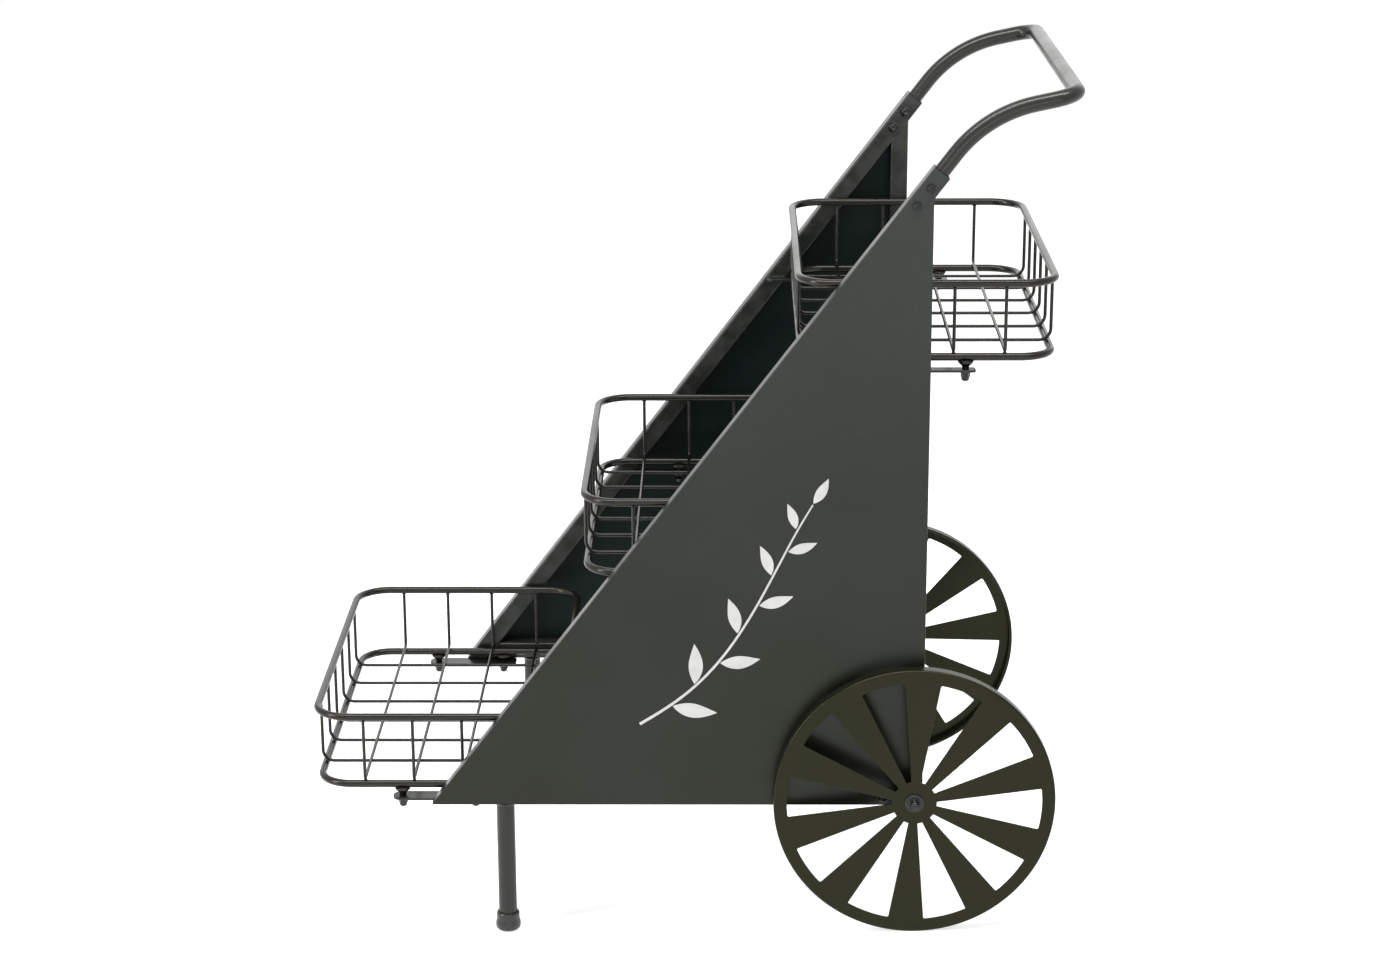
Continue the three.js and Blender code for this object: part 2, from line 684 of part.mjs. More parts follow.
function supportBar(name, spec, side) {
  const strip = new THREE.Shape(barOutline(spec));
  for (const fore of [-1, 1]) {
    const bore = circlePoints(STUD_RADIUS + GAP, SMALL_SIDES, spec.x + fore * STUD_OFFSET, RING_HALF_Y);
    strip.holes.push(new THREE.Path(bore.reverse()));
  }
  const bar = new THREE.ExtrudeGeometry(strip, { depth: BAR_THICKNESS, bevelEnabled: false });
  if (side < 0) bar.rotateX(Math.PI).translate(0, 0, BAR_THICKNESS);
  return mesh(name, bar, FRAME_COAT, 0, 0, spec.barZ);
}

// ---------------------------------------------------------------- rear cross bar
function crossBar() {
  const end = INNER_Y - GAP;
  const plug = end - CROSS_BAR_PLUG;
  const bore = CROSS_BAR_RADIUS - CROSS_BAR_WALL;
  const thread = CROSS_SCREW_RADIUS + GAP;
  const bar = turned([
    [thread, -end],
    [CROSS_BAR_RADIUS, -end],
    [CROSS_BAR_RADIUS, end],
    [thread, end],
    [thread, plug],
    [bore, plug],
    [bore, -plug],
    [thread, -plug],
    [thread, -end],
  ], ROUND_SIDES);
  return mesh('rear_cross_bar', outwards(bar, 1), FRAME_COAT, CROSS_BAR_X, 0, LOW_Z + CROSS_BAR_RISE);
}

// The head is outside, so the screw is drawn along the side that it enters from.
function crossBarScrew(name, side) {
  const screw = buttonScrew({
    head: CROSS_HEAD_RADIUS,
    headHeight: CROSS_HEAD_HEIGHT,
    collar: CROSS_COLLAR_RADIUS,
    collarHeight: CROSS_COLLAR,
    shank: CROSS_SCREW_RADIUS,
    seat: -(HALF_WIDTH + GAP),
    length: CROSS_SCREW_LENGTH,
  }, BORE_SIDES);
  return mesh(name, outwards(screw, -side), FASTENER, CROSS_BAR_X, 0, LOW_Z + CROSS_BAR_RISE);
}

// ---------------------------------------------------------------- axle
function axle() {
  const shoulder = WHEEL_Y;
  const end = WHEEL_Y + GAP + AXLE_WASHER + GAP + AXLE_NUT_BORE;
  const rod = turned([
    [0, -end],
    [AXLE_THREAD_RADIUS, -end],
    [AXLE_THREAD_RADIUS, -shoulder],
    [AXLE_RADIUS, -shoulder],
    [AXLE_RADIUS, shoulder],
    [AXLE_THREAD_RADIUS, shoulder],
    [AXLE_THREAD_RADIUS, end],
    [0, end],
  ], TUBE_SIDES);
  return mesh('axle', outwards(rod, 1), FASTENER);
}

function axleFasteners(label, side) {
  const low = WHEEL_Y + GAP;
  const high = low + AXLE_WASHER;
  const washer = sleeve(AXLE_WASHER_RADIUS, AXLE_THREAD_RADIUS + GAP, low, high, TUBE_SIDES);
  const nut = capNut({
    body: AXLE_NUT_RADIUS,
    flange: AXLE_NUT_FLANGE,
    height: AXLE_NUT_HEIGHT,
    thread: AXLE_THREAD_RADIUS,
    boreDepth: AXLE_NUT_BORE,
  }).translate(0, 0, -high - GAP);
  return [
    mesh(`${label}_axle_washer`, outwards(washer, side), FASTENER),
    mesh(`${label}_axle_cap_nut`, outwards(nut, -side), FASTENER),
  ];
}

// ---------------------------------------------------------------- wheels
// Half the width of a spoke at a distance from the hub.
function spokeHalfWidth(distance) {
  const share = (distance - WINDOW_INNER) / (WINDOW_OUTER - WINDOW_INNER);
  return (SPOKE_INNER_WIDTH + share * (SPOKE_OUTER_WIDTH - SPOKE_INNER_WIDTH)) / 2;
}

// The opening between two neighbouring spokes: straight sides along the spokes, round ends.
function windowPath(direction) {
  const pitch = (2 * Math.PI) / SPOKES;
  const innerTurn = Math.asin(spokeHalfWidth(WINDOW_INNER) / WINDOW_INNER);
  const outerTurn = Math.asin(spokeHalfWidth(WINDOW_OUTER) / WINDOW_OUTER);
  const at = (radius, angle) => new THREE.Vector2(radius * Math.cos(angle), radius * Math.sin(angle));
  const points = [];
  for (let k = 0; k <= WINDOW_ARC; k += 1) {
    const angle = direction + outerTurn + ((pitch - 2 * outerTurn) * k) / WINDOW_ARC;
    points.push(at(WINDOW_OUTER, angle));
  }
  points.push(at(WINDOW_INNER, direction + pitch - innerTurn));
  points.push(at(WINDOW_INNER, direction + innerTurn));
  return new THREE.Path(points.reverse());
}

// One pressing: the spoked disc with the rim band turned inwards round its edge.
function wheelPressing(phase, side) {
  const shape = new THREE.Shape(circlePoints(WHEEL_RADIUS, WHEEL_SIDES));
  for (let i = 0; i < SPOKES; i += 1) {
    shape.holes.push(windowPath(phase + (2 * Math.PI * i) / SPOKES));
  }
  shape.holes.push(new THREE.Path(circlePoints(HUB_RADIUS + GAP, ROUND_SIDES).reverse()));
  const middle = WHEEL_Y - DISC / 2;
  const disc = plate(shape, DISC).translate(0, side * middle, 0);
  const band = sleeve(WHEEL_RADIUS, WHEEL_RADIUS - BAND_WALL, WHEEL_Y - BAND_WIDTH, middle, WHEEL_SIDES);
  return together([disc, outwards(band, side)]);
}

function wheel(label, side, phaseDeg) {
  const place = new THREE.Group();
  const hubLow = HALF_WIDTH + HUB_SIDE_PLAY;
  const hub = sleeve(HUB_RADIUS, AXLE_RADIUS + AXLE_PLAY, hubLow, WHEEL_Y, ROUND_SIDES);
  place.add(
    mesh(`${label}_wheel`, wheelPressing(radians(phaseDeg), side), WHEEL_COAT),
    mesh(`${label}_wheel_hub_sleeve`, outwards(hub, side), FASTENER),
  );
  return place;
}

// ---------------------------------------------------------------- the whole cart
function sideFrame(label, side) {
  return [
    sideSheet(`${label}_side_sheet`, side),
    slopeTube(`${label}_slope_tube`, side),
    bottomTube(`${label}_bottom_tube`, side),
    uprightTube(`${label}_upright_tube`, side),
    leg(`${label}_leg`, side),
    footCap(`${label}_foot_cap`, side),
    ...BASKETS.map((spec) => supportBar(`${label}_${spec.name}_bar`, spec, side)),
    ...handleFasteners(label, side),
    crossBarScrew(`${label}_cross_bar_screw`, side),
    ...axleFasteners(label, side),
  ];
}

function flowerCart() {
  const leaning = new THREE.Group();
  leaning.add(
    ...sideFrame('near', -1),
    ...sideFrame('far', 1),
    handle(),
    ...BASKETS.map(basket),
    crossBar(),
    axle(),
    wheel('near', -1, NEAR_PHASE_DEG),
    wheel('far', 1, FAR_PHASE_DEG),
  );
  leaning.rotation.y = LEAN;
  leaning.position.z = WHEEL_RADIUS;

  // The origin is on the ground, under the middle of the cart.
  const cart = new THREE.Group();
  cart.add(leaning);
  cart.updateMatrixWorld(true);
  const extent = new THREE.Box3().setFromObject(cart, true);
  leaning.position.x = -(extent.min.x + extent.max.x) / 2;
  cart.updateMatrixWorld(true);
  return cart;
}

export default flowerCart();
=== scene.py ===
import math

import bmesh
import bpy
import numpy as np
from mathutils import Matrix, Vector
from mathutils.geometry import tessellate_polygon


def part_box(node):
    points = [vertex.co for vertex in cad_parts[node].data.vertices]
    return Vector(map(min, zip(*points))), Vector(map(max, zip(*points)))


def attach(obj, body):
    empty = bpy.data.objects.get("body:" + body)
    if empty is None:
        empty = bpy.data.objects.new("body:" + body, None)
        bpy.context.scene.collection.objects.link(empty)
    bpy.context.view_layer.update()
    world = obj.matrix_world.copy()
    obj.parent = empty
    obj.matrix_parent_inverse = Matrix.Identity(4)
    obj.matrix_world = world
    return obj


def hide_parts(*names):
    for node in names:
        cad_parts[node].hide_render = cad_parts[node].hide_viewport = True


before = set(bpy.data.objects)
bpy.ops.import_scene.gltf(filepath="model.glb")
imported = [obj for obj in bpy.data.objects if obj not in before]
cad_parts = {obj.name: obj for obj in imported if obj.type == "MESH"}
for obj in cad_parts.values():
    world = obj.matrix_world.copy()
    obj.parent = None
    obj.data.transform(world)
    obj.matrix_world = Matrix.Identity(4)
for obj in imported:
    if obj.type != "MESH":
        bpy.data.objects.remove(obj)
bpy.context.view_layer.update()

# ---------------------------------------------------------------- sizes
MM = 0.001
SIDES = {"near": -1.0, "far": 1.0}

# Side frames, with their sheets, legs and cross bar.
HALF_WIDTH = 226.0
FRAME_LENGTH = 508.0
FRAME_HEIGHT = 668.5
LOW_Z = -12.0
TUBE = 19.0
TUBE_WALL = 1.2
TUBE_CORNER = 2.2
TUBE_SINK = 0.6
SHEET = 1.0
SHEET_EDGE = 0.9
SHEET_CORNERS = (1.3, 1.3, 2.0, 1.1, 1.1)
# Thickness of the dark lining that paints shade on the panels' inner faces.
SHADE_LINING = 0.25
SEAM = 0.3
REAR_X = TUBE / 2
LEG_X = -423.0
LEG_DROP = 145.0
CROSS_BAR = np.array([-29.5, 0.0, LOW_Z + 8.0])
AXLE_BORE = 4.3
PANEL_SCREW_BORE = 3.3
SMALL_BORE = 2.8

# Handle: two arms that rise from their elbows to the grip.
HANDLE_RADIUS = 8.0
HANDLE_BORE = 6.6
HANDLE_BEND = 130.0
HANDLE_RISE = math.radians(12)
ELBOW_RUN = 22.0
GRIP_X = 148.0
GRIP_CORNER = 24.0
SOCKET_DEPTH = 60.0
SOCKET_SCREWS = (18.5, 40.5)

# Fasteners.
SOCKET_SCREW = {"head": 4.6, "head_height": 2.6, "collar": 5.9, "collar_height": 1.0, "socket": 1.7}
PANEL_SCREW = {"head": 5.0, "head_height": 2.8, "collar": 6.0, "collar_height": 0.8, "socket": 1.9}
SOCKET_NUT = {"body": 4.6, "height": 3.0}
AXLE_NUT = {"body": 5.6, "flange": 6.6, "height": 9.5}
BASKET_NUT = {"body": 4.8, "flange": 6.0, "height": 11.0}

# Baskets: the middle of each upper rim in x and z, then what the three have in common.
BASKETS = {
    "bottom_basket": (-493.53, 75.2),
    "middle_basket": (-210.54, 308.5),
    "top_basket": (7.96, 535.5),
}
RIM_HALF = np.array([128.0, 200.0])
RIM_RADIUS = 4.0
RIM_CORNER = 36.0
RING_INSET = 2.5
BASKET_DEPTH = 75.5
LONG_WIRES = 6
CROSS_WIRES = 4
WIRE_RADIUS = 1.75
WIRE_BEND = 12.0
CROSS_WIRE_BEND = 5.0
WIRE_END_DROP = 3.0
WELD_SINK = 0.8
STUD_OFFSET = 38.0
STUD_DROP = 12.0

# Flat bars under the baskets.
BAR_THICKNESS = 2.5
BAR_WIDTH = 13.0
BAR_MARGIN = 10.0
LOW_BAR_WIDTH = 20.0
LOW_BAR_MARGIN = 15.0
LOW_BAR_LAP = 3.0

# Wheels and axle.
WHEEL_RADIUS = 145.0
WHEEL_Y = HALF_WIDTH + 23.0
WHEEL_PHASE = {"near": 15.0, "far": 6.0}
DISC_THICKNESS = 2.0
BAND_DEPTH = 14.0
LIP_DEPTH = 10.6
LIP_WIDTH = 3.2
SPOKES = 10
SPOKE_WIDTH = 9.4
SPOKE_SPREAD = 27.2
WINDOW_INNER = 23.0
WINDOW_OUTER = 131.0
HUB_BORE = 8.3
HUB_Y = HALF_WIDTH + 0.5
AXLE_RADIUS = 4.0

# What follows from these.
X_AXIS, Y_AXIS, Z_AXIS = np.eye(3)
SLOPE = math.atan2(FRAME_HEIGHT, FRAME_LENGTH)
ALONG = np.array([math.cos(SLOPE), 0.0, math.sin(SLOPE)])
UNDER = np.array([math.sin(SLOPE), 0.0, -math.cos(SLOPE)])
TIP = np.array([REAR_X - FRAME_LENGTH, 0.0, LOW_Z])
APEX = np.array([REAR_X, 0.0, LOW_Z + FRAME_HEIGHT])
MOUTH = APEX + UNDER * TUBE / 2
FRAME_Y = HALF_WIDTH - SHEET - SEAM - TUBE / 2
INNER_Y = FRAME_Y - TUBE / 2
LEG_FOOT = np.array([LEG_X, 0.0, LOW_Z - LEG_DROP])
LEAN = (math.atan2(-LEG_FOOT[2], -LEG_FOOT[0])
        - math.asin(WHEEL_RADIUS / math.hypot(LEG_FOOT[0], LEG_FOOT[2])))
AXLE_AT = (np.array(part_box("axle")[0]) + np.array(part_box("axle")[1])) / 2


# ---------------------------------------------------------------- surfaces
def unit(vectors):
    """Each vector over its own length."""
    return vectors / np.linalg.norm(vectors, axis=-1, keepdims=True)


def leaning(points):
    """Turned about Y by the lean: x' = x cos + z sin, z' = z cos - x sin."""
    x, y, z = np.moveaxis(np.asarray(points, float), -1, 0)
    cos, sin = math.cos(LEAN), math.sin(LEAN)
    return np.stack([x * cos + z * sin, y, z * cos - x * sin], -1)


def around(sides):
    """Angles all the way round, each once."""
    return np.linspace(0, 2 * math.pi, sides, endpoint=False)


def grid(rows, wrapped=False):
    """Quads over rows of points that close round. The first and last row are capped, or joined if
    wrapped."""
    rows = np.asarray(rows, float)
    here = np.arange(rows.shape[0] * rows.shape[1]).reshape(rows.shape[:2])
    beside = np.roll(here, -1, axis=1)
    above, above_beside = np.roll(here, -1, axis=0), np.roll(beside, -1, axis=0)
    keep = slice(None) if wrapped else slice(-1)
    quads = np.stack([here, beside, above_beside, above], -1)[keep].reshape(-1, 4).tolist()
    caps = [] if wrapped else [here[0].tolist(), here[-1].tolist()]
    return rows.reshape(-1, 3), quads + caps


def bent_path(corners, radii, steps, closed=False):
    """Straight runs whose corners give way to arcs: an arc of radius r starts r tan(turn / 2)
    before its corner. Returns the places and the directions along them, in two or three
    dimensions."""
    corners = np.asarray(corners, float)
    places, directions = [], []
    for i, radius in enumerate(radii):
        into = unit(corners[i] - corners[i - 1])
        onward = unit(corners[(i + 1) % len(corners)] - corners[i])
        if not closed and i == 0:
            into = onward
        if not closed and i == len(corners) - 1:
            onward = into
        turn = math.acos(float(np.clip(into @ onward, -1, 1)))
        if radius == 0 or turn < 1e-6:
            places.append(corners[i][None])
            directions.append(unit(into + onward)[None])
            continue
        side = unit(onward - into * math.cos(turn))
        angle = np.linspace(0, turn, steps + 1)[:, None]
        start = corners[i] - into * radius * math.tan(turn / 2)
        places.append(start + radius * (np.sin(angle) * into + (1 - np.cos(angle)) * side))
        directions.append(np.cos(angle) * into + np.sin(angle) * side)
    return np.concatenate(places), np.concatenate(directions)


def outline(corners, radii, steps=5):
    """The places of a closed bent path in a plane."""
    return bent_path(corners, radii, steps, closed=True)[0]


def profile(corners, radii, steps=5):
    """The places of an open bent path in a plane, such as the radii and heights of a turned
    piece."""
    return bent_path(corners, radii, steps)[0]


def circle(radius, sides, x=0.0, y=0.0):
    """Places round a circle in a plane: x + r cos a, y + r sin a."""
    angle = around(sides)
    return np.stack([x + radius * np.cos(angle), y + radius * np.sin(angle)], -1)


def swept_rows(path, radius, sides, over):
    """A circle carried along a path: place + r (cos a across + sin a up), with across square to
    the path and to over."""
    places, directions = path
    across = unit(np.cross(directions, over))
    up = np.cross(across, directions)
    angle = around(sides)[None, :, None]
    return places[:, None] + radius * (np.cos(angle) * across[:, None]
                                       + np.sin(angle) * up[:, None])


def swept(path, radius, sides, over, closed=False):
    """The closed surface of a circle carried along a path."""
    return grid(swept_rows(path, radius, sides, over), closed)


def turned(shape, at, axis, sides=32, hexagon=0.0):
    """A profile of radii and heights turned about an axis through a place. Where a radius is no
    more than hexagon, it is cut to a hexagon of that size: r = h cos 30 / cos(a mod 60 - 30)."""
    shape = np.asarray(shape, float)
    across = Z_AXIS if abs(axis[2]) < 0.5 else X_AXIS
    beside = np.cross(axis, across)
    angle = around(sides)[None]
    radius = np.repeat(shape[:, :1], sides, axis=1)
    sixth = math.pi / 3
    flats = hexagon * math.cos(sixth / 2) / np.cos(angle % sixth - sixth / 2)
    radius = np.where(radius <= hexagon, np.minimum(radius, flats), radius)[..., None]
    turn = np.cos(angle)[..., None] * across + np.sin(angle)[..., None] * beside
    return grid(np.asarray(at, float) + radius * turn + shape[:, 1][:, None, None] * axis)


def bead(at, reach, sides=10, rows=6):
    """A weld bead: an ellipsoid with three half-widths, r = sin t, h = -cos t, cut flat at its
    ends."""
    flat = 0.25
    t = np.linspace(flat, math.pi - flat, rows)[:, None]
    angle = around(sides)[None]
    ball = np.stack([np.sin(t) * np.cos(angle), np.sin(t) * np.sin(angle),
                     -np.cos(t) + 0 * angle], -1)
    return grid(np.asarray(at, float) + ball * np.asarray(reach, float))


def rounded_edge(high, low, radius, steps=3):
    """Insets and heights from a plate's upper face to its lower face, with both edges rounded."""
    corners = [[2 * radius, high], [0, high], [0, low], [2 * radius, low]]
    return profile(corners, [0, radius, radius, 0], steps)


def plate(outlines, edges, stand):
    """A sheet inside one outline and outside the rest. Each row of an edge moves its outline into
    the material by the inset and sets its height. The two faces are filled between the first rows
    and between the last ones."""
    rows, faces, start = [], [], 0
    for i, (shape, edge) in enumerate(zip(outlines, edges)):
        x, y = shape.T
        area = x @ np.roll(y, -1) - y @ np.roll(x, -1)
        shape = shape if (area > 0) == (i == 0) else shape[::-1]
        run = unit(np.roll(shape, -1, axis=0) - np.roll(shape, 1, axis=0))
        inwards = np.stack([-run[:, 1], run[:, 0]], -1)
        flat = shape[None] + edge[:, 0][:, None, None] * inwards[None]
        height = np.broadcast_to(edge[:, 1][:, None, None], flat.shape[:2] + (1,))
        ring = np.concatenate([flat, height], -1)
        points, quads = grid(ring)
        faces += [[corner + start for corner in face] for face in quads[:-2]]
        rows.append((ring, start))
        start += len(points)
    for end in (0, -1):
        loops = [ring[end] for ring, _ in rows]
        ids = np.concatenate([np.arange(ring.shape[1]) + offset + (end % len(ring)) * ring.shape[1]
                              for ring, offset in rows])
        fill = tessellate_polygon([[Vector((*point[:2], 0)) for point in loop] for loop in loops])
        faces += [[int(ids[corner]) for corner in triangle] for triangle in fill]
    points = np.concatenate([ring.reshape(-1, 3) for ring, _ in rows])
    return stand(points), faces


def upright_plane(points):
    """A plate's own x, y and height as the cart's x, z and y."""
    return points[:, [0, 2, 1]]


def level_plane(points):
    """A plate's own x, y and height as the cart's x, y and z."""
    return points


def square_tube(start, end, start_cut, end_cut):
    """A rounded square carried along a line. Each line of it stops where it meets the cutting
    planes: t = (plane place - line place) . plane normal / direction . plane normal. The wall
    turns in at both ends."""
    direction = unit(end - start)
    over = np.cross(direction, Y_AXIS)
    rings = []
    for half, corner in ((TUBE / 2, TUBE_CORNER), (TUBE / 2 - TUBE_WALL, TUBE_CORNER - TUBE_WALL)):
        square = outline([[-half, -half], [half, -half], [half, half], [-half, half]],
                         [corner] * 4, 4)
        lines = start + square[:, :1] * Y_AXIS + square[:, 1:] * over
        for place, normal in (start_cut, end_cut):
            reach = (place - lines) @ normal / (direction @ normal)
            rings.append(lines + reach[:, None] * direction)
    outer_start, outer_end, inner_start, inner_end = rings
    return grid([outer_start, outer_end, inner_end, inner_start], wrapped=True)


def across_cart(shell, y):
    """A shell moved along Y."""
    return shell[0] + y * Y_AXIS, shell[1]


# ---------------------------------------------------------------- pieces
def piece(name, shells, material, body, nodes, sharp=35.0, even=False):
    """Joins closed shells into one mesh at the origin, its faces outwards, which stands for CAD
    nodes."""
    points, faces, start = [], [], 0
    for shell_points, shell_faces in shells:
        points.append(shell_points)
        faces += [[corner + start for corner in face] for face in shell_faces]
        start += len(shell_points)
    surface = bpy.data.meshes.new(name)
    surface.from_pydata((leaning(np.concatenate(points)) * MM + AXLE_AT).tolist(), [], faces)
    work = bmesh.new()
    work.from_mesh(surface)
    bmesh.ops.recalc_face_normals(work, faces=work.faces)
    work.to_mesh(surface)
    work.free()
    surface.shade_smooth()
    surface.set_sharp_from_angle(angle=math.radians(sharp))
    surface.materials.append(material)
    made = bpy.data.objects.new(name, surface)
    bpy.context.scene.collection.objects.link(made)
    if even:
        made.modifiers.new("even_faces", "WEIGHTED_NORMAL").keep_sharp = True
    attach(made, body)
    if nodes:
        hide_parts(*nodes)


# ---------------------------------------------------------------- shader helpers
def add(tree, kind, inputs=None, **settings):
    """A new node with its settings, its inputs set to values or joined to sockets."""
    made = tree.nodes.new(kind)
    for key, value in settings.items():
        setattr(made, key, value)
    for key, value in (inputs or {}).items():
        if isinstance(value, bpy.types.NodeSocket):
            tree.links.new(value, made.inputs[key])
        else:
            made.inputs[key].default_value = value
    return made


def socket_kind(value):
    """The kind of socket that holds a number, a colour of four or a place of three."""
    if isinstance(value, float):
        return "NodeSocketFloat"
    return "NodeSocketColor" if len(value) == 4 else "NodeSocketVector"


def effect(name, inputs, outputs):
    """A node group with named inputs and outputs. Returns it with the sockets to work between."""
    tree = bpy.data.node_groups.new(name, "ShaderNodeTree")
    for label, value in inputs.items():
        made = tree.interface.new_socket(label, in_out="INPUT", socket_type=socket_kind(value))
        made.default_value = value
    for label, kind in outputs.items():
        tree.interface.new_socket(label, in_out="OUTPUT", socket_type=kind)
    given = tree.nodes.new("NodeGroupInput").outputs
    return tree, given, tree.nodes.new("NodeGroupOutput").inputs


def noise(tree, where, scale, detail=2.0, roughness=0.5):
    """Soft noise from 0 to 1, with scale features to the metre."""
    inputs = {"Vector": where, "Scale": scale, "Detail": detail, "Roughness": roughness}
    return add(tree, "ShaderNodeTexNoise", inputs).outputs["Fac"]


def ramp(tree, value, low, high, to_low=0.0, to_high=1.0):
    """A value carried straight from low..high to to_low..to_high, and held there beyond them."""
    inputs = {"Value": value, "From Min": low, "From Max": high,
              "To Min": to_low, "To Max": to_high}
    return add(tree, "ShaderNodeMapRange", inputs).outputs["Result"]


def maths(tree, operation, first, second):
    """One sum of two values."""
    return add(tree, "ShaderNodeMath", {0: first, 1: second}, operation=operation).outputs[0]


def blended(tree, share, first, second):
    """Two colours mixed by the share of the second."""
    inputs = {0: share, 6: first, 7: second}
    return add(tree, "ShaderNodeMix", inputs, data_type="RGBA").outputs[2]


def patchy_colour():
    """Two tints in soft patches, the way a sprayed coat drifts over a large sheet, and sparse pale
    specks. The second tint gains from 0.80 m above the floor down to 0.30 m, which paints shade:
    the coat grows darker towards the bottom where that tint is the darker one."""
    tree, given, result = effect(
        "patchy_colour",
        {"Where": (0.0, 0.0, 0.0), "Colour": (0.02, 0.02, 0.02, 1.0),
         "Patch Colour": (0.03, 0.03, 0.02, 1.0), "Patch Scale": 6.0, "Patch Share": 0.5,
         "Painted Shade Share": 0.0, "Speck Scale": 520.0, "Speck Share": 0.1},
        {"Colour": "NodeSocketColor"})
    broad = ramp(tree, noise(tree, given["Where"], given["Patch Scale"], 3.0), 0.38, 0.66)
    # Painted shade: the second tint's share grows from 0.80 m down to 0.30 m above the floor,
    # scaled by the material's setting.
    height = add(tree, "ShaderNodeSeparateXYZ", {"Vector": given["Where"]}).outputs["Z"]
    low = maths(tree, "MULTIPLY", ramp(tree, height, 0.80, 0.30), given["Painted Shade Share"])
    patches = maths(tree, "MULTIPLY", broad, given["Patch Share"])
    share = maths(tree, "MINIMUM", maths(tree, "ADD", patches, low), 1.0)
    tinted = blended(tree, share, given["Colour"], given["Patch Colour"])
    specks = ramp(tree, noise(tree, given["Where"], given["Speck Scale"], 1.0), 0.68, 0.78)
    paler = {"Color": tinted, "Value": 3.0, "Saturation": 0.7}
    pale = add(tree, "ShaderNodeHueSaturation", paler).outputs[0]
    final = blended(tree, maths(tree, "MULTIPLY", specks, given["Speck Share"]), tinted, pale)
    tree.links.new(final, result["Colour"])
    return tree


def coat_grain():
    """Orange peel and a drifting gloss: fine noise for height, broad noise for roughness."""
    tree, given, result = effect(
        "coat_grain",
        {"Where": (0.0, 0.0, 0.0), "Roughness": 0.4, "Roughness Spread": 0.08,
         "Peel Scale": 420.0, "Gloss Scale": 14.0},
        {"Roughness": "NodeSocketFloat", "Height": "NodeSocketFloat"})
    broad = noise(tree, given["Where"], given["Gloss Scale"], 3.0)
    drift = maths(tree, "MULTIPLY", ramp(tree, broad, 0.3, 0.7, -1.0, 1.0),
                  given["Roughness Spread"])
    fine = noise(tree, given["Where"], given["Peel Scale"], 2.0)
    tree.links.new(maths(tree, "ADD", given["Roughness"], drift), result["Roughness"])
    tree.links.new(fine, result["Height"])
    return tree


def edge_rub():
    """A mask of outer edges rubbed thin, broken up by noise."""
    tree, given, result = effect(
        "edge_rub",
        {"Where": (0.0, 0.0, 0.0), "Edge": 0.5, "Start": 0.54, "End": 0.62, "Scale": 60.0},
        {"Mask": "NodeSocketFloat"})
    edge = ramp(tree, given["Edge"], given["Start"], given["End"])
    broken = ramp(tree, noise(tree, given["Where"], given["Scale"], 3.0), 0.4, 0.62)
    tree.links.new(maths(tree, "MULTIPLY", edge, broken), result["Mask"])
    return tree


def settled_dust():
    """A mask of fine dust on what faces up, thicker in soft patches."""
    tree, given, result = effect(
        "settled_dust",
        {"Where": (0.0, 0.0, 0.0), "Facing": 0.0, "Amount": 0.1, "Scale": 25.0},
        {"Mask": "NodeSocketFloat"})
    up = ramp(tree, given["Facing"], 0.35, 1.0)
    soft = ramp(tree, noise(tree, given["Where"], given["Scale"], 4.0, 0.6), 0.3, 0.8)
    lying = maths(tree, "MULTIPLY", up, soft)
    tree.links.new(maths(tree, "MULTIPLY", lying, given["Amount"]), result["Mask"])
    return tree


PATCHY_COLOUR = patchy_colour()
COAT_GRAIN = coat_grain()
EDGE_RUB = edge_rub()
SETTLED_DUST = settled_dust()
DUST_COLOUR = (0.33, 0.31, 0.27, 1.0)
RUB_COLOUR = (0.09, 0.09, 0.08, 1.0)
WHITE = (1.0, 1.0, 1.0, 1.0)
PEEL_HEIGHT = 0.0004


def grouped(tree, group, inputs):
    """The outputs of a shared effect with a material's own values."""
    return add(tree, "ShaderNodeGroup", inputs, node_tree=group).outputs


def coated(name, colour, patch, patch_scale, roughness, patch_share=0.6, low=0.0, speck=0.4,
           spread=0.05, peel=420.0, bump=0.05, rub=0.2, rub_colour=RUB_COLOUR, dust=0.02,
           specular=0.5, tint=WHITE):
    """A finish made of the shared effects, each with its own values."""
    material = bpy.data.materials.new(name)
    material.use_nodes = True
    tree = material.node_tree
    shader = tree.nodes["Principled BSDF"]
    where = tree.nodes.new("ShaderNodeTexCoord").outputs["Object"]
    surface = tree.nodes.new("ShaderNodeNewGeometry")
    facing = add(tree, "ShaderNodeSeparateXYZ", {"Vector": surface.outputs["Normal"]}).outputs["Z"]
    # low paints shade: it mixes in more of the patch tint towards the bottom.
    base = grouped(tree, PATCHY_COLOUR, {
        "Where": where, "Colour": colour, "Patch Colour": patch, "Painted Shade Share": low,
        "Patch Scale": patch_scale, "Patch Share": patch_share, "Speck Share": speck})
    rubbed = grouped(tree, EDGE_RUB, {"Where": where, "Edge": surface.outputs["Pointiness"]})
    dusty = grouped(tree, SETTLED_DUST, {"Where": where, "Facing": facing, "Amount": dust})
    grain = grouped(tree, COAT_GRAIN, {
        "Where": where, "Roughness": roughness, "Roughness Spread": spread, "Peel Scale": peel})
    worn = blended(tree, maths(tree, "MULTIPLY", rubbed["Mask"], rub), base["Colour"], rub_colour)
    tree.links.new(blended(tree, dusty["Mask"], worn, DUST_COLOUR), shader.inputs["Base Color"])
    rough = maths(tree, "ADD", grain["Roughness"], dusty["Mask"])
    tree.links.new(rough, shader.inputs["Roughness"])
    relief = add(tree, "ShaderNodeBump",
                 {"Height": grain["Height"], "Strength": bump, "Distance": PEEL_HEIGHT})
    tree.links.new(relief.outputs["Normal"], shader.inputs["Normal"])
    shader.inputs["Specular IOR Level"].default_value = specular
    shader.inputs["Specular Tint"].default_value = tint
    return material
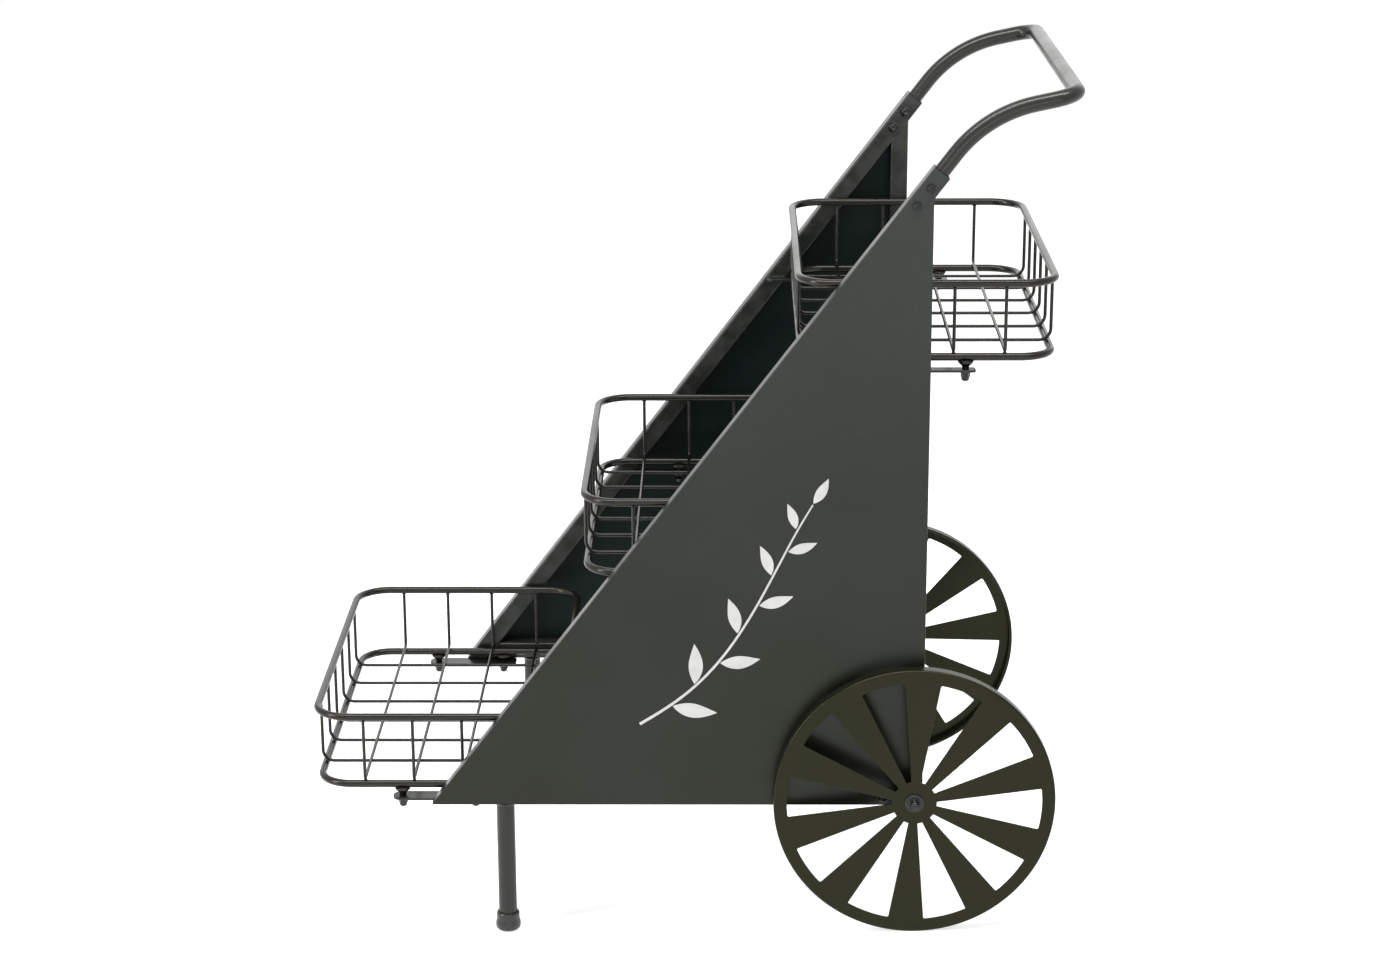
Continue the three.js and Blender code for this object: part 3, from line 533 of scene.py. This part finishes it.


# The panel's second tint is far darker, and low=0.85 brings it in towards the bottom: painted
# shade.
PANEL_COAT = coated(
    "panel_coat", (0.0270, 0.0320, 0.0315, 1), (0.0034, 0.0036, 0.0006, 1), patch_scale=4.5,
    roughness=0.34, patch_share=0.2, low=0.85, specular=0.33, tint=(0.95, 1.0, 0.90, 1))
# A near-black lining for the panels' inner faces: painted shade in the recess between the side
# frames.
PAINTED_SHADE_INSIDE = coated(
    "panel_inside_painted_shade", (0.0030, 0.0062, 0.0056, 1), (0.0060, 0.0080, 0.0060, 1),
    patch_scale=5.0, roughness=0.42, specular=0.16, tint=(0.80, 1.0, 0.96, 1))
FRAME_COAT = coated(
    "frame_coat", (0.0075, 0.0090, 0.0075, 1), (0.0110, 0.0110, 0.0070, 1), patch_scale=9.0,
    roughness=0.30, bump=0.03, specular=0.38, tint=(0.96, 1.0, 0.92, 1))
WIRE_COAT = coated(
    "wire_coat", (0.0055, 0.0050, 0.0042, 1), (0.0095, 0.0078, 0.0050, 1), patch_scale=12.0,
    roughness=0.24, peel=900.0, bump=0.004, specular=0.34, tint=(1.0, 0.97, 0.88, 1))
HANDLE_COAT = coated(
    "handle_coat", (0.0080, 0.0082, 0.0070, 1), (0.0125, 0.0118, 0.0080, 1), patch_scale=10.0,
    roughness=0.28, peel=700.0, bump=0.004, specular=0.42, tint=(1.0, 0.98, 0.93, 1))
WHEEL_COAT = coated(
    "wheel_coat", (0.0052, 0.0056, 0.0026, 1), (0.0078, 0.0077, 0.0032, 1), patch_scale=7.0,
    roughness=0.24, bump=0.02, specular=0.22, tint=(1.0, 1.0, 0.66, 1))
BLACKENED_STEEL = coated(
    "blackened_steel", (0.0060, 0.0058, 0.0052, 1), (0.0040, 0.0038, 0.0034, 1),
    patch_scale=60.0, roughness=0.11, spread=0.03, peel=1500.0, bump=0.01,
    rub_colour=(0.12, 0.115, 0.10, 1), specular=0.4)
RUBBER = coated(
    "foot_rubber", (0.0085, 0.0085, 0.0068, 1), (0.0140, 0.0130, 0.0090, 1), patch_scale=40.0,
    roughness=0.30, peel=900.0, bump=0.10, dust=0.04)
STENCIL_PAINT = coated(
    "stencil_paint", (0.66, 0.65, 0.63, 1), (0.52, 0.51, 0.49, 1), patch_scale=60.0,
    roughness=0.55, patch_share=0.5, speck=0.0, peel=700.0, bump=0.1, rub=0.0, dust=0.0)


# ---------------------------------------------------------------- side frames
def side_panel(side, outer, thickness, edge_radius):
    """The sheet on a side frame's outer face, or a thin near-black lining on its inner face that
    paints shade there, bored for its screws and the axle."""
    rear_top = APEX + UNDER * TUBE - ALONG * (TUBE * UNDER[0] / ALONG[0])
    corners = [TIP, [REAR_X, 0, LOW_Z], rear_top, APEX + UNDER * TUBE, APEX]
    holes = [circle(AXLE_BORE, 24), circle(PANEL_SCREW_BORE, 24, *CROSS_BAR[[0, 2]])]
    holes += [circle(SMALL_BORE, 24, *(MOUTH - ALONG * down)[[0, 2]]) for down in SOCKET_SCREWS]
    face, back = side * outer, side * (outer - thickness)
    back_radius = 0.05
    edge = profile([[edge_radius + 0.02, face], [0, face], [0, back], [2 * back_radius, back]],
                   [0, edge_radius, back_radius, 0])
    shapes = [outline(np.array(corners)[:, [0, 2]], SHEET_CORNERS)] + holes
    return [plate(shapes, [edge] * len(shapes), upright_plane)]


def weld_seam(start, end, half_width=1.3):
    """A row of overlapping beads along a line, each 1.1 half-widths past the one before."""
    start, end = np.asarray(start, float), np.asarray(end, float)
    count = max(2, round(float(np.linalg.norm(end - start)) / (1.1 * half_width)))
    reach = [half_width, 0.62 * half_width, half_width]
    return [bead(place, reach, 8, 5) for place in np.linspace(start, end, count)]


def frame_tubes(side):
    """The three square tubes of a side frame, each run a little into its neighbour, and the welds
    on their inner faces."""
    level = (TIP, Z_AXIS)
    edge = TIP + UNDER * TUBE
    under_slope = (edge - UNDER * TUBE_SINK, UNDER)
    before_upright = (np.array([-TUBE / 2 + TUBE_SINK, 0, 0]), X_AXIS)
    low = LOW_Z + TUBE / 2
    tubes = {
        "slope_tube": square_tube(TIP + UNDER * TUBE / 2, MOUTH, level, (MOUTH, ALONG)),
        "bottom_tube": square_tube(np.array([TIP[0], 0, low]), np.array([0, 0, low]),
                                   under_slope, before_upright),
        "upright_tube": square_tube(np.array([0, 0, LOW_Z]), np.array([0, 0, FRAME_HEIGHT]),
                                    level, under_slope),
    }
    bead_sink = 0.3
    inner = side * (INNER_Y + bead_sink) * Y_AXIS
    half = TUBE / 2 - 1
    corner = np.array([-TUBE / 2, 0, low])
    on_slope = [edge + ALONG * (x - edge[0]) / ALONG[0] for x in (-half, half)]
    on_slope += [edge + ALONG * (z - edge[2]) / ALONG[2] for z in (low - half, low + half)]
    shells = {name: [across_cart(tube, side * FRAME_Y)] for name, tube in tubes.items()}
    shells["upright_tube"] += weld_seam(on_slope[0] + inner, on_slope[1] + inner)
    shells["bottom_tube"] += weld_seam(on_slope[2] + inner, on_slope[3] + inner)
    shells["bottom_tube"] += weld_seam(corner - half * Z_AXIS + inner,
                                       corner + half * Z_AXIS + inner)
    return shells


def leg_shape():
    """Radii and heights of a leg tube whose weld flares into the bottom tube."""
    foot, top = LEG_FOOT[2], LOW_Z - 0.05
    return profile([[9.2, foot + 5], [9.5, foot + 6], [9.5, top - 2.6], [11.2, top - 0.4],
                    [11.2, top]],
                   [0, 0.3, 2.4, 0.3, 0])


def foot_shape():
    """Radii and heights of a moulded foot: a rounded tread, a swelling and a lip round the leg."""
    return profile([[0.5, 0.4], [10.8, 0.4], [13.0, 3.2], [13.0, 8.0], [11.9, 12.5], [11.9, 18.6],
                    [10.9, 20], [9.6, 20], [9.6, 17]],
                   [0, 2.2, 1.8, 2.6, 3.0, 1.2, 0.4, 0.2, 0])


def cross_bar_shape():
    """Radii and heights of the round bar between the side frames."""
    end = INNER_Y - 0.1
    return profile([[7.2, -end], [7.5, -end + 0.4], [7.5, end - 0.4], [7.2, end]],
                   [0, 0.2, 0.2, 0])


# ---------------------------------------------------------------- handle and fasteners
def handle_shell():
    """The handle tube: a circle carried from one socket over both arms and the grip, and back
    inside itself."""
    bend = HANDLE_BEND * math.tan((SLOPE - HANDLE_RISE) / 2)
    elbow = MOUTH + ALONG * (ELBOW_RUN + bend)
    grip = np.array([GRIP_X, 0, elbow[2] + (GRIP_X - elbow[0]) * math.tan(HANDLE_RISE)])
    arm = np.array([MOUTH - ALONG * SOCKET_DEPTH, elbow, grip])
    corners = np.concatenate([arm - FRAME_Y * Y_AXIS, arm[::-1] + FRAME_Y * Y_AXIS])
    path = bent_path(corners, [0, HANDLE_BEND, GRIP_CORNER, GRIP_CORNER, HANDLE_BEND, 0], 22)
    over = np.array([-math.sin(HANDLE_RISE), 0, math.cos(HANDLE_RISE)])
    outside = swept_rows(path, HANDLE_RADIUS, 32, over)
    inside = swept_rows(path, HANDLE_BORE, 32, over)
    return grid(np.concatenate([outside, inside[::-1]]), wrapped=True)


def button_screw(at, axis, head, head_height, collar, collar_height, socket):
    """A domed head with a hexagon socket, on its collar."""
    top = collar_height + head_height
    shape = profile([[2.0, 0], [collar, 0], [collar, collar_height], [head, collar_height],
                     [head, collar_height + 0.5], [0.72 * head, top], [1.15 * socket, top],
                     [socket, top - 0.3], [socket, top - 1.6], [0.2, top - 1.8]],
                    [0, 0.2, 0.25, 0.05, 0.3, 1.6, 0.15, 0, 0, 0])
    return turned(shape, at, axis, 36, socket)


def cap_nut(at, axis, body, flange, height):
    """A flanged hexagon nut with a domed end."""
    shape = profile([[2.0, 0], [flange, 0], [flange, 1.2], [1.04 * body, 1.6], [body, 2.0],
                     [body, 0.52 * height], [0.86 * body, 0.6 * height],
                     [0.80 * body, 0.86 * height], [0.05, height]],
                    [0, 0.3, 0.4, 0, 0, 0.2, 0.3, 0.5 * body, 0])
    return turned(shape, at, axis, 36, body)


def hex_nut(at, axis, body, height):
    """A hexagon nut whose corners are turned off at both ends, with the screw's end proud of it."""
    shape = [[0.9 * body, 0], [body, 0.45], [body, height - 0.45], [0.9 * body, height],
             [2.4, height], [2.4, height + 0.25], [2.1, height + 0.5], [0.2, height + 0.5]]
    return turned(shape, at, axis, 36, body)


def washer_shape():
    """Radii and heights of an axle washer."""
    return profile([[4.2, 0], [10, 0], [10, 1.5], [4.2, 1.5]], [0, 0.3, 0.5, 0])


# ---------------------------------------------------------------- baskets
def basket_loop(at, inset, drop):
    """A thick round wire carried along a rectangle with round corners, which is moved in by the
    inset and down by the drop."""
    reach = np.append(RIM_HALF - inset, 0)
    corners = np.array([[1, -1, 0], [1, 1, 0], [-1, 1, 0], [-1, -1, 0]]) * reach
    places, directions = bent_path(corners, [RIM_CORNER - inset] * 4, 12, closed=True)
    path = (places + at - drop * Z_AXIS, directions)
    return swept(path, RIM_RADIUS, 20, Z_AXIS, closed=True)


def stud_places(at):
    """The four places on a basket's ring that its studs hang from, two on each side."""
    low = at - BASKET_DEPTH * Z_AXIS
    y = RIM_HALF[1] - RING_INSET
    return [low + [fore * STUD_OFFSET, side * y, 0] for fore in (-1, 1) for side in (-1, 1)]


def basket_ring(at):
    """The lower ring and the four flared studs welded under it."""
    shoulder = -STUD_DROP + 0.1
    shape = profile([[2.5, -20], [2.5, shoulder], [3.6, shoulder], [3.6, -9.4], [7.9, -5.4],
                     [7.9, -3.6], [6.4, -2.8]],
                    [0, 0, 0.3, 2.4, 0.8, 0.7, 0])
    studs = [turned(shape, place, Z_AXIS, 28) for place in stud_places(at)]
    return [basket_loop(at, RING_INSET, BASKET_DEPTH)] + studs


def spread_out(count, half):
    """Places of wires that share a width of two halves evenly, with a gap at both ends."""
    return (np.arange(count) - (count - 1) / 2) * 2 * half / (count + 1)


def basket_wires(at):
    """U-shaped wires welded under the rim, on the ring and to one another, with a bead at each
    weld."""
    rim_bead, rim_bead_drop = [2.3, 2.3, 1.5], 4.4
    ring_bead, cross_bead = [1.9, 1.9, 1.6], [1.75, 1.75, 1.5]
    grip = RIM_RADIUS + WIRE_RADIUS + SEAM
    seat = math.sqrt((WIRE_BEND + grip) ** 2 - (WIRE_BEND - RING_INSET) ** 2) - WIRE_BEND
    long_floor = -BASKET_DEPTH + seat
    cross_floor = long_floor + 2 * WIRE_RADIUS - WELD_SINK
    ys = spread_out(LONG_WIRES, RIM_HALF[1])
    xs = spread_out(CROSS_WIRES, RIM_HALF[0])
    shells = []
    runs = [(X_AXIS, Y_AXIS * y, RIM_HALF[0], long_floor, WIRE_BEND) for y in ys]
    runs += [(Y_AXIS, X_AXIS * x, RIM_HALF[1], cross_floor, CROSS_WIRE_BEND) for x in xs]
    for along, aside, reach, floor_z, radius in runs:
        base = at + aside
        left, right = base - reach * along, base + reach * along
        corners = [left - WIRE_END_DROP * Z_AXIS, left + floor_z * Z_AXIS,
                   right + floor_z * Z_AXIS, right - WIRE_END_DROP * Z_AXIS]
        path = bent_path(corners, [0, radius, radius, 0], 8)
        shells.append(swept(path, WIRE_RADIUS, 12, np.cross(Z_AXIS, along)))
        for end in (-1, 1):
            hang = base + end * reach * along
            ring = hang - end * RING_INSET * along - BASKET_DEPTH * Z_AXIS
            bend = hang - end * radius * along + (floor_z + radius) * Z_AXIS
            shells.append(bead(hang - rim_bead_drop * Z_AXIS, rim_bead))
            shells.append(bead(ring + unit(bend - ring) * (RIM_RADIUS + 0.1), ring_bead))
    middle = (long_floor + cross_floor) / 2
    shells += [bead(at + [x, y, middle], cross_bead) for x in xs for y in ys]
    return shells


def support_bar(x, rim_z, side):
    """A flat bar with round ends, seen from above. The lowest one is wider and laps under the
    bottom tube. The others are welded to the slope tube and the upright."""
    level = rim_z - BASKET_DEPTH - STUD_DROP - BAR_THICKNESS
    lowest = level < LOW_Z
    outer = INNER_Y - SEAM + (LOW_BAR_LAP if lowest else 0)
    inner = outer - (LOW_BAR_WIDTH if lowest else BAR_WIDTH)
    at_slope = APEX[0] - (APEX[2] - level) / math.tan(SLOPE) + 4
    front = min(at_slope, x - STUD_OFFSET - BAR_MARGIN)
    if lowest:
        rear = x + STUD_OFFSET + LOW_BAR_MARGIN
        nose, seam_y, seam_z = 9.0, outer, LOW_Z - 0.4
        seams = [(TIP[0] + 4, rear - 3)]
    else:
        rear = max(REAR_X, x + STUD_OFFSET + BAR_MARGIN)
        nose, seam_y, seam_z = 6.0, INNER_Y + 0.2, level + BAR_THICKNESS
        seams = [(front + 2, front + 18), (-8.5, 8.5)]
    corners = [[front, inner], [rear, inner], [rear, outer], [front, outer]]
    shape = outline(corners, [nose, 3.0, 3.0, nose], 6) * [1, side]
    stud_y = side * (RIM_HALF[1] - RING_INSET)
    holes = [circle(SMALL_BORE, 20, x + fore * STUD_OFFSET, stud_y) for fore in (-1, 1)]
    edge = rounded_edge(level + BAR_THICKNESS, level, 0.45)
    shells = [plate([shape] + holes, [edge] * 3, level_plane)]
    for near, far in seams:
        shells += weld_seam([near, side * seam_y, seam_z], [far, side * seam_y, seam_z], 1.1)
    return shells


# ---------------------------------------------------------------- wheels
def window(direction):
    """The opening between two spokes: straight sides along the spokes, ends round the hub and the
    rim. A spoke's half width over the radius is the sine of the angle that it takes up."""
    def reach(radius, share):
        grown = (radius - WINDOW_INNER) / (WINDOW_OUTER - WINDOW_INNER)
        half = (SPOKE_WIDTH + grown * SPOKE_SPREAD) / 2
        turn = math.asin(half / radius)
        angle = direction + turn + (2 * math.pi / SPOKES - 2 * turn) * share
        return [radius * math.cos(angle), radius * math.sin(angle)]
    outer = [reach(WINDOW_OUTER, share) for share in np.linspace(0, 1, 15)]
    inner = [reach(WINDOW_INNER, share) for share in (1, 0.5, 0)]
    radii = [1.6] + [0] * (len(outer) - 2) + [1.6, 0.8, 0, 0.8]
    return outline(outer + inner, radii, 4)


def wheel_pressing(side, phase):
    """One pressing: the spoked disc, and the rim band turned in round its edge and rolled at its
    lip."""
    face, back, lip, roll = (side * (WHEEL_Y - depth)
                             for depth in (0, DISC_THICKNESS, BAND_DEPTH, LIP_DEPTH))
    rim = profile([[4.0, face], [0, face], [0, lip], [LIP_WIDTH, lip], [LIP_WIDTH, roll],
                   [DISC_THICKNESS, roll + side * 1.6], [DISC_THICKNESS, back]],
                  [0, 2.6, 1.5, 1.5, 0.5, 0.5, 0])
    shapes = [circle(WHEEL_RADIUS, 240)]
    shapes += [window(math.radians(phase) + 2 * math.pi * i / SPOKES) for i in range(SPOKES)]
    shapes += [circle(HUB_BORE, 40)]
    edges = [rim] + [rounded_edge(face, back, 0.35)] * (SPOKES + 1)
    return [plate(shapes, edges, upright_plane)]


def hub_shape():
    """Radii and heights of the sleeve that carries a wheel on the axle."""
    return profile([[4.4, 0], [8, 0], [8, 22.4], [7.4, 22.6], [4.4, 22.6]],
                   [0, 0.4, 0.3, 0.2, 0])


# ---------------------------------------------------------------- stencilled sprig
def ribbon(line, half_width):
    """A thin strip of paint on the near panel: a centre line, and a half width that changes along
    it."""
    run = np.gradient(line, axis=0)
    side = unit(np.stack([-run[:, 1], run[:, 0]], -1))
    left, right = line - half_width[:, None] * side, line + half_width[:, None] * side
    deep, proud = -HALF_WIDTH + 0.05, -HALF_WIDTH - 0.12
    ring = [np.stack([edge[:, 0], np.full(len(edge), depth), edge[:, 1]], -1)
            for edge, depth in ((left, deep), (right, deep), (right, proud), (left, proud))]
    return grid(np.stack(ring, 1))


def leaf(root, heading, length, width):
    """A pointed leaf on a centre line that curls a little:
    half width = 0.12 + w / 2 sin(pi t)^0.9 (1.25 - 0.5 t)."""
    t = np.linspace(0, 1, 19)
    bend = math.radians(heading) + 0.28 * (t - 0.5)
    step = np.stack([np.cos(bend), np.sin(bend)], -1) * length / (len(t) - 1)
    line = np.asarray(root) + np.cumsum(step, axis=0) - step[0]
    return ribbon(line, 0.12 + width / 2 * np.sin(math.pi * t) ** 0.9 * (1.25 - 0.5 * t))


def sprig():
    """A curved stem with leaves in turn on both sides of it, each smaller than the one before, and
    a leaf at its tip. The stem is a straight line bent by sin(pi t) in x and sin(2 pi t) in z."""
    t = np.linspace(0, 1, 40)
    stem = np.stack([-282 + 176 * t + 26 * np.sin(math.pi * t),
                     78 + 236 * t - 12 * np.sin(2 * math.pi * t)], -1)
    shells = [ribbon(stem, 1.5 - 0.7 * t)]
    heading = np.degrees(np.arctan2(*np.gradient(stem, axis=0)[:, ::-1].T))
    for k, place in enumerate(range(5, 37, 4)):
        side = 1 if k % 2 else -1
        angle = math.radians(heading[place])
        root = stem[place] + side * 2.2 * np.array([-math.sin(angle), math.cos(angle)])
        shells.append(leaf(root, heading[place] + side * 46, 46 - 2.6 * k, 15 - 0.8 * k))
    shells.append(leaf(stem[-1] + [0.5, 1.5], heading[-1], 30, 10))
    return shells


# ---------------------------------------------------------------- the cart
for label, side in SIDES.items():
    out = side * Y_AXIS
    piece(f"{label}_panel", side_panel(side, HALF_WIDTH, SHEET, SHEET_EDGE), PANEL_COAT,
          "cart", [f"{label}_side_sheet"], even=True)
    # A dark lining on the sheet's inner face: painted shade.
    piece(f"{label}_panel_inside", side_panel(side, HALF_WIDTH - SHEET + 0.1, SHADE_LINING, 0.1),
          PAINTED_SHADE_INSIDE, "cart", [], even=True)
    for node, tube in frame_tubes(side).items():
        piece(f"{label}_{node}_skin", tube, FRAME_COAT,
              "cart", [f"{label}_{node}"], even=True)
    at_leg = np.array([LEG_X, side * FRAME_Y, 0])
    piece(f"{label}_leg_tube", [turned(leg_shape(), at_leg, Z_AXIS, 40)], FRAME_COAT,
          "cart", [f"{label}_leg"])
    at_foot = at_leg + LEG_FOOT[2] * Z_AXIS
    piece(f"{label}_foot", [turned(foot_shape(), at_foot, Z_AXIS, 48)], RUBBER,
          "cart", [f"{label}_foot_cap"])
    for name, (x, rim_z) in BASKETS.items():
        piece(f"{label}_{name}_strap", support_bar(x, rim_z, side), FRAME_COAT,
              "cart", [f"{label}_{name}_bar"], even=True)
    on_sheet = side * (HALF_WIDTH + 0.1) * Y_AXIS
    for which, down in zip(("upper", "lower"), SOCKET_SCREWS):
        place = MOUTH - ALONG * down
        screw = button_screw(place + side * (INNER_Y - 0.1) * Y_AXIS, -out, **SOCKET_SCREW)
        piece(f"{label}_{which}_button_screw", [screw], BLACKENED_STEEL,
              "cart", [f"{label}_handle_{which}_screw"])
        nut = hex_nut(place + on_sheet, out, **SOCKET_NUT)
        piece(f"{label}_{which}_hex_nut", [nut], BLACKENED_STEEL,
              "cart", [f"{label}_handle_{which}_nut"])
    screw = button_screw(CROSS_BAR + on_sheet, out, **PANEL_SCREW)
    piece(f"{label}_panel_screw", [screw], BLACKENED_STEEL,
          "cart", [f"{label}_cross_bar_screw"])
    washer = turned(washer_shape(), side * (WHEEL_Y + 0.2) * Y_AXIS, out, 48)
    piece(f"{label}_washer", [washer], BLACKENED_STEEL,
          "cart", [f"{label}_axle_washer"])
    dome_nut = cap_nut(side * (WHEEL_Y + 1.8) * Y_AXIS, out, **AXLE_NUT)
    piece(f"{label}_dome_nut", [dome_nut], BLACKENED_STEEL,
          "cart", [f"{label}_axle_cap_nut"])
    wheel_body = f"{label}_wheel_set"
    piece(f"{label}_wheel_pressing", wheel_pressing(side, WHEEL_PHASE[label]), WHEEL_COAT,
          wheel_body, [f"{label}_wheel"], even=True)
    piece(f"{label}_hub", [turned(hub_shape(), side * HUB_Y * Y_AXIS, out, 40)], BLACKENED_STEEL,
          wheel_body, [f"{label}_wheel_hub_sleeve"])

for name, (x, rim_z) in BASKETS.items():
    at = np.array([x, 0, rim_z])
    rim = basket_loop(at, 0, 0)
    piece(f"{name}_top_loop", [rim], WIRE_COAT, "cart", [f"{name}_rim"])
    piece(f"{name}_low_loop", basket_ring(at), WIRE_COAT, "cart", [f"{name}_ring"])
    piece(f"{name}_lattice", basket_wires(at), WIRE_COAT, "cart", [f"{name}_wires"])
    under_bar = (STUD_DROP + BAR_THICKNESS + 0.1) * Z_AXIS
    nuts = [cap_nut(place - under_bar, -Z_AXIS, **BASKET_NUT) for place in stud_places(at)]
    piece(f"{name}_nuts", nuts, BLACKENED_STEEL,
          "cart", [f"{name}_cap_nut_{k}" for k in range(1, 5)])

piece("push_handle", [handle_shell()], HANDLE_COAT, "cart", ["handle"])
piece("cross_tube", [turned(cross_bar_shape(), CROSS_BAR, Y_AXIS, 32)], FRAME_COAT,
      "cart", ["rear_cross_bar"])
rod = [[AXLE_RADIUS, -WHEEL_Y], [AXLE_RADIUS, WHEEL_Y]]
piece("axle_rod", [turned(rod, 0 * X_AXIS, Y_AXIS, 28)], BLACKENED_STEEL,
      "cart", ["axle"])
piece("painted_sprig", sprig(), STENCIL_PAINT, "cart", [])


# ---------------------------------------------------------------- floor, light and camera
def shown_or_lit(tree, shown, lit):
    """One value where the camera or a reflection sees it, another where it lights the cart."""
    path = tree.nodes.new("ShaderNodeLightPath").outputs
    seen = maths(tree, "MAXIMUM", path["Is Camera Ray"], path["Is Glossy Ray"])
    seen = maths(tree, "MAXIMUM", seen, path["Is Transmission Ray"])
    return ramp(tree, seen, 0.0, 1.0, lit, shown)


def floor():
    """A pale square sheet that glows only where it is seen, and keeps the cart's shadow."""
    half = 40.0
    surface = bpy.data.meshes.new("floor")
    surface.from_pydata([(-half, -half, 0), (half, -half, 0), (half, half, 0), (-half, half, 0)],
                        [], [(0, 1, 2, 3)])
    material = bpy.data.materials.new("floor_paper")
    material.use_nodes = True
    tree = material.node_tree
    shader = tree.nodes["Principled BSDF"]
    shader.inputs["Base Color"].default_value = (0.86, 0.86, 0.86, 1)
    shader.inputs["Roughness"].default_value = 0.9
    shader.inputs["Specular IOR Level"].default_value = 0.0
    shader.inputs["Emission Color"].default_value = WHITE
    tree.links.new(shown_or_lit(tree, 0.66, 0.0), shader.inputs["Emission Strength"])
    surface.materials.append(material)
    made = bpy.data.objects.new("floor", surface)
    bpy.context.scene.collection.objects.link(made)


def surroundings():
    """A white room, dimmer where it lights the cart than where it is seen."""
    world = bpy.data.worlds.new("studio")
    world.use_nodes = True
    background = world.node_tree.nodes["Background"]
    background.inputs["Color"].default_value = WHITE
    world.node_tree.links.new(shown_or_lit(world.node_tree, 1.0, 0.38),
                              background.inputs["Strength"])
    bpy.context.scene.world = world


def softbox(name, at, towards, width, height, radiance, colour=(1.0, 1.0, 1.0)):
    """A rectangular lamp. Its power is radiance x pi x width x height."""
    light = bpy.data.lights.new(name, "AREA")
    light.shape = "RECTANGLE"
    light.size, light.size_y = width, height
    light.energy = radiance * math.pi * width * height
    light.color = colour
    made = bpy.data.objects.new(name, light)
    made.location = at
    made.rotation_euler = (Vector(towards) - Vector(at)).to_track_quat("-Z", "Y").to_euler()
    made.visible_camera = False
    bpy.context.scene.collection.objects.link(made)


def camera(down, round_, roll, target, distance, lens_mm):
    """The photograph's viewpoint, in degrees and metres: looking down on the cart, a little from
    the right, with the cart's lean added."""
    down, round_, roll = (math.radians(angle) for angle in (down, round_, roll))
    ahead = np.array([math.sin(round_) * math.cos(down), math.cos(round_) * math.cos(down),
                      -math.sin(down)])
    right = np.array([math.cos(round_), -math.sin(round_), 0.0])
    up = np.cross(right, ahead)
    right, up = (math.cos(roll) * right + math.sin(roll) * up,
                 math.cos(roll) * up - math.sin(roll) * right)
    ahead, right, up = (leaning(axis) for axis in (ahead, right, up))
    lens = bpy.data.cameras.new("camera")
    lens.sensor_width, lens.lens, lens.clip_end = 36.0, lens_mm, 200.0
    made = bpy.data.objects.new("camera", lens)
    turn = Matrix(np.stack([right, up, -ahead], -1).tolist()).to_4x4()
    made.matrix_world = Matrix.Translation(Vector(np.array(target) - distance * ahead)) @ turn
    bpy.context.scene.collection.objects.link(made)
    bpy.context.scene.camera = made


floor()
surroundings()
softbox("overhead_bank", at=(0.0, -0.7, 2.6), towards=(0, 0, 0.45),
        width=3.0, height=0.42, radiance=16.0)
softbox("left_bank", at=(-2.1, -1.1, 1.25), towards=(0, 0, 0.4),
        width=0.5, height=1.6, radiance=12.0)
softbox("rear_wall", at=(0.3, 3.5, 2.3), towards=(0, 0, 0.5),
        width=5.0, height=3.0, radiance=0.75)
softbox("low_front", at=(0.3, -3.6, 0.75), towards=(0, 0, 0.6),
        width=3.0, height=0.9, radiance=2.0, colour=(0.90, 1.0, 1.0))
camera(down=17.069, round_=-0.618, roll=-0.206, target=(0.00949, 0.0, 0.42202),
       distance=3.1483, lens_mm=74.82)
bpy.context.scene.view_settings.view_transform = "Standard"
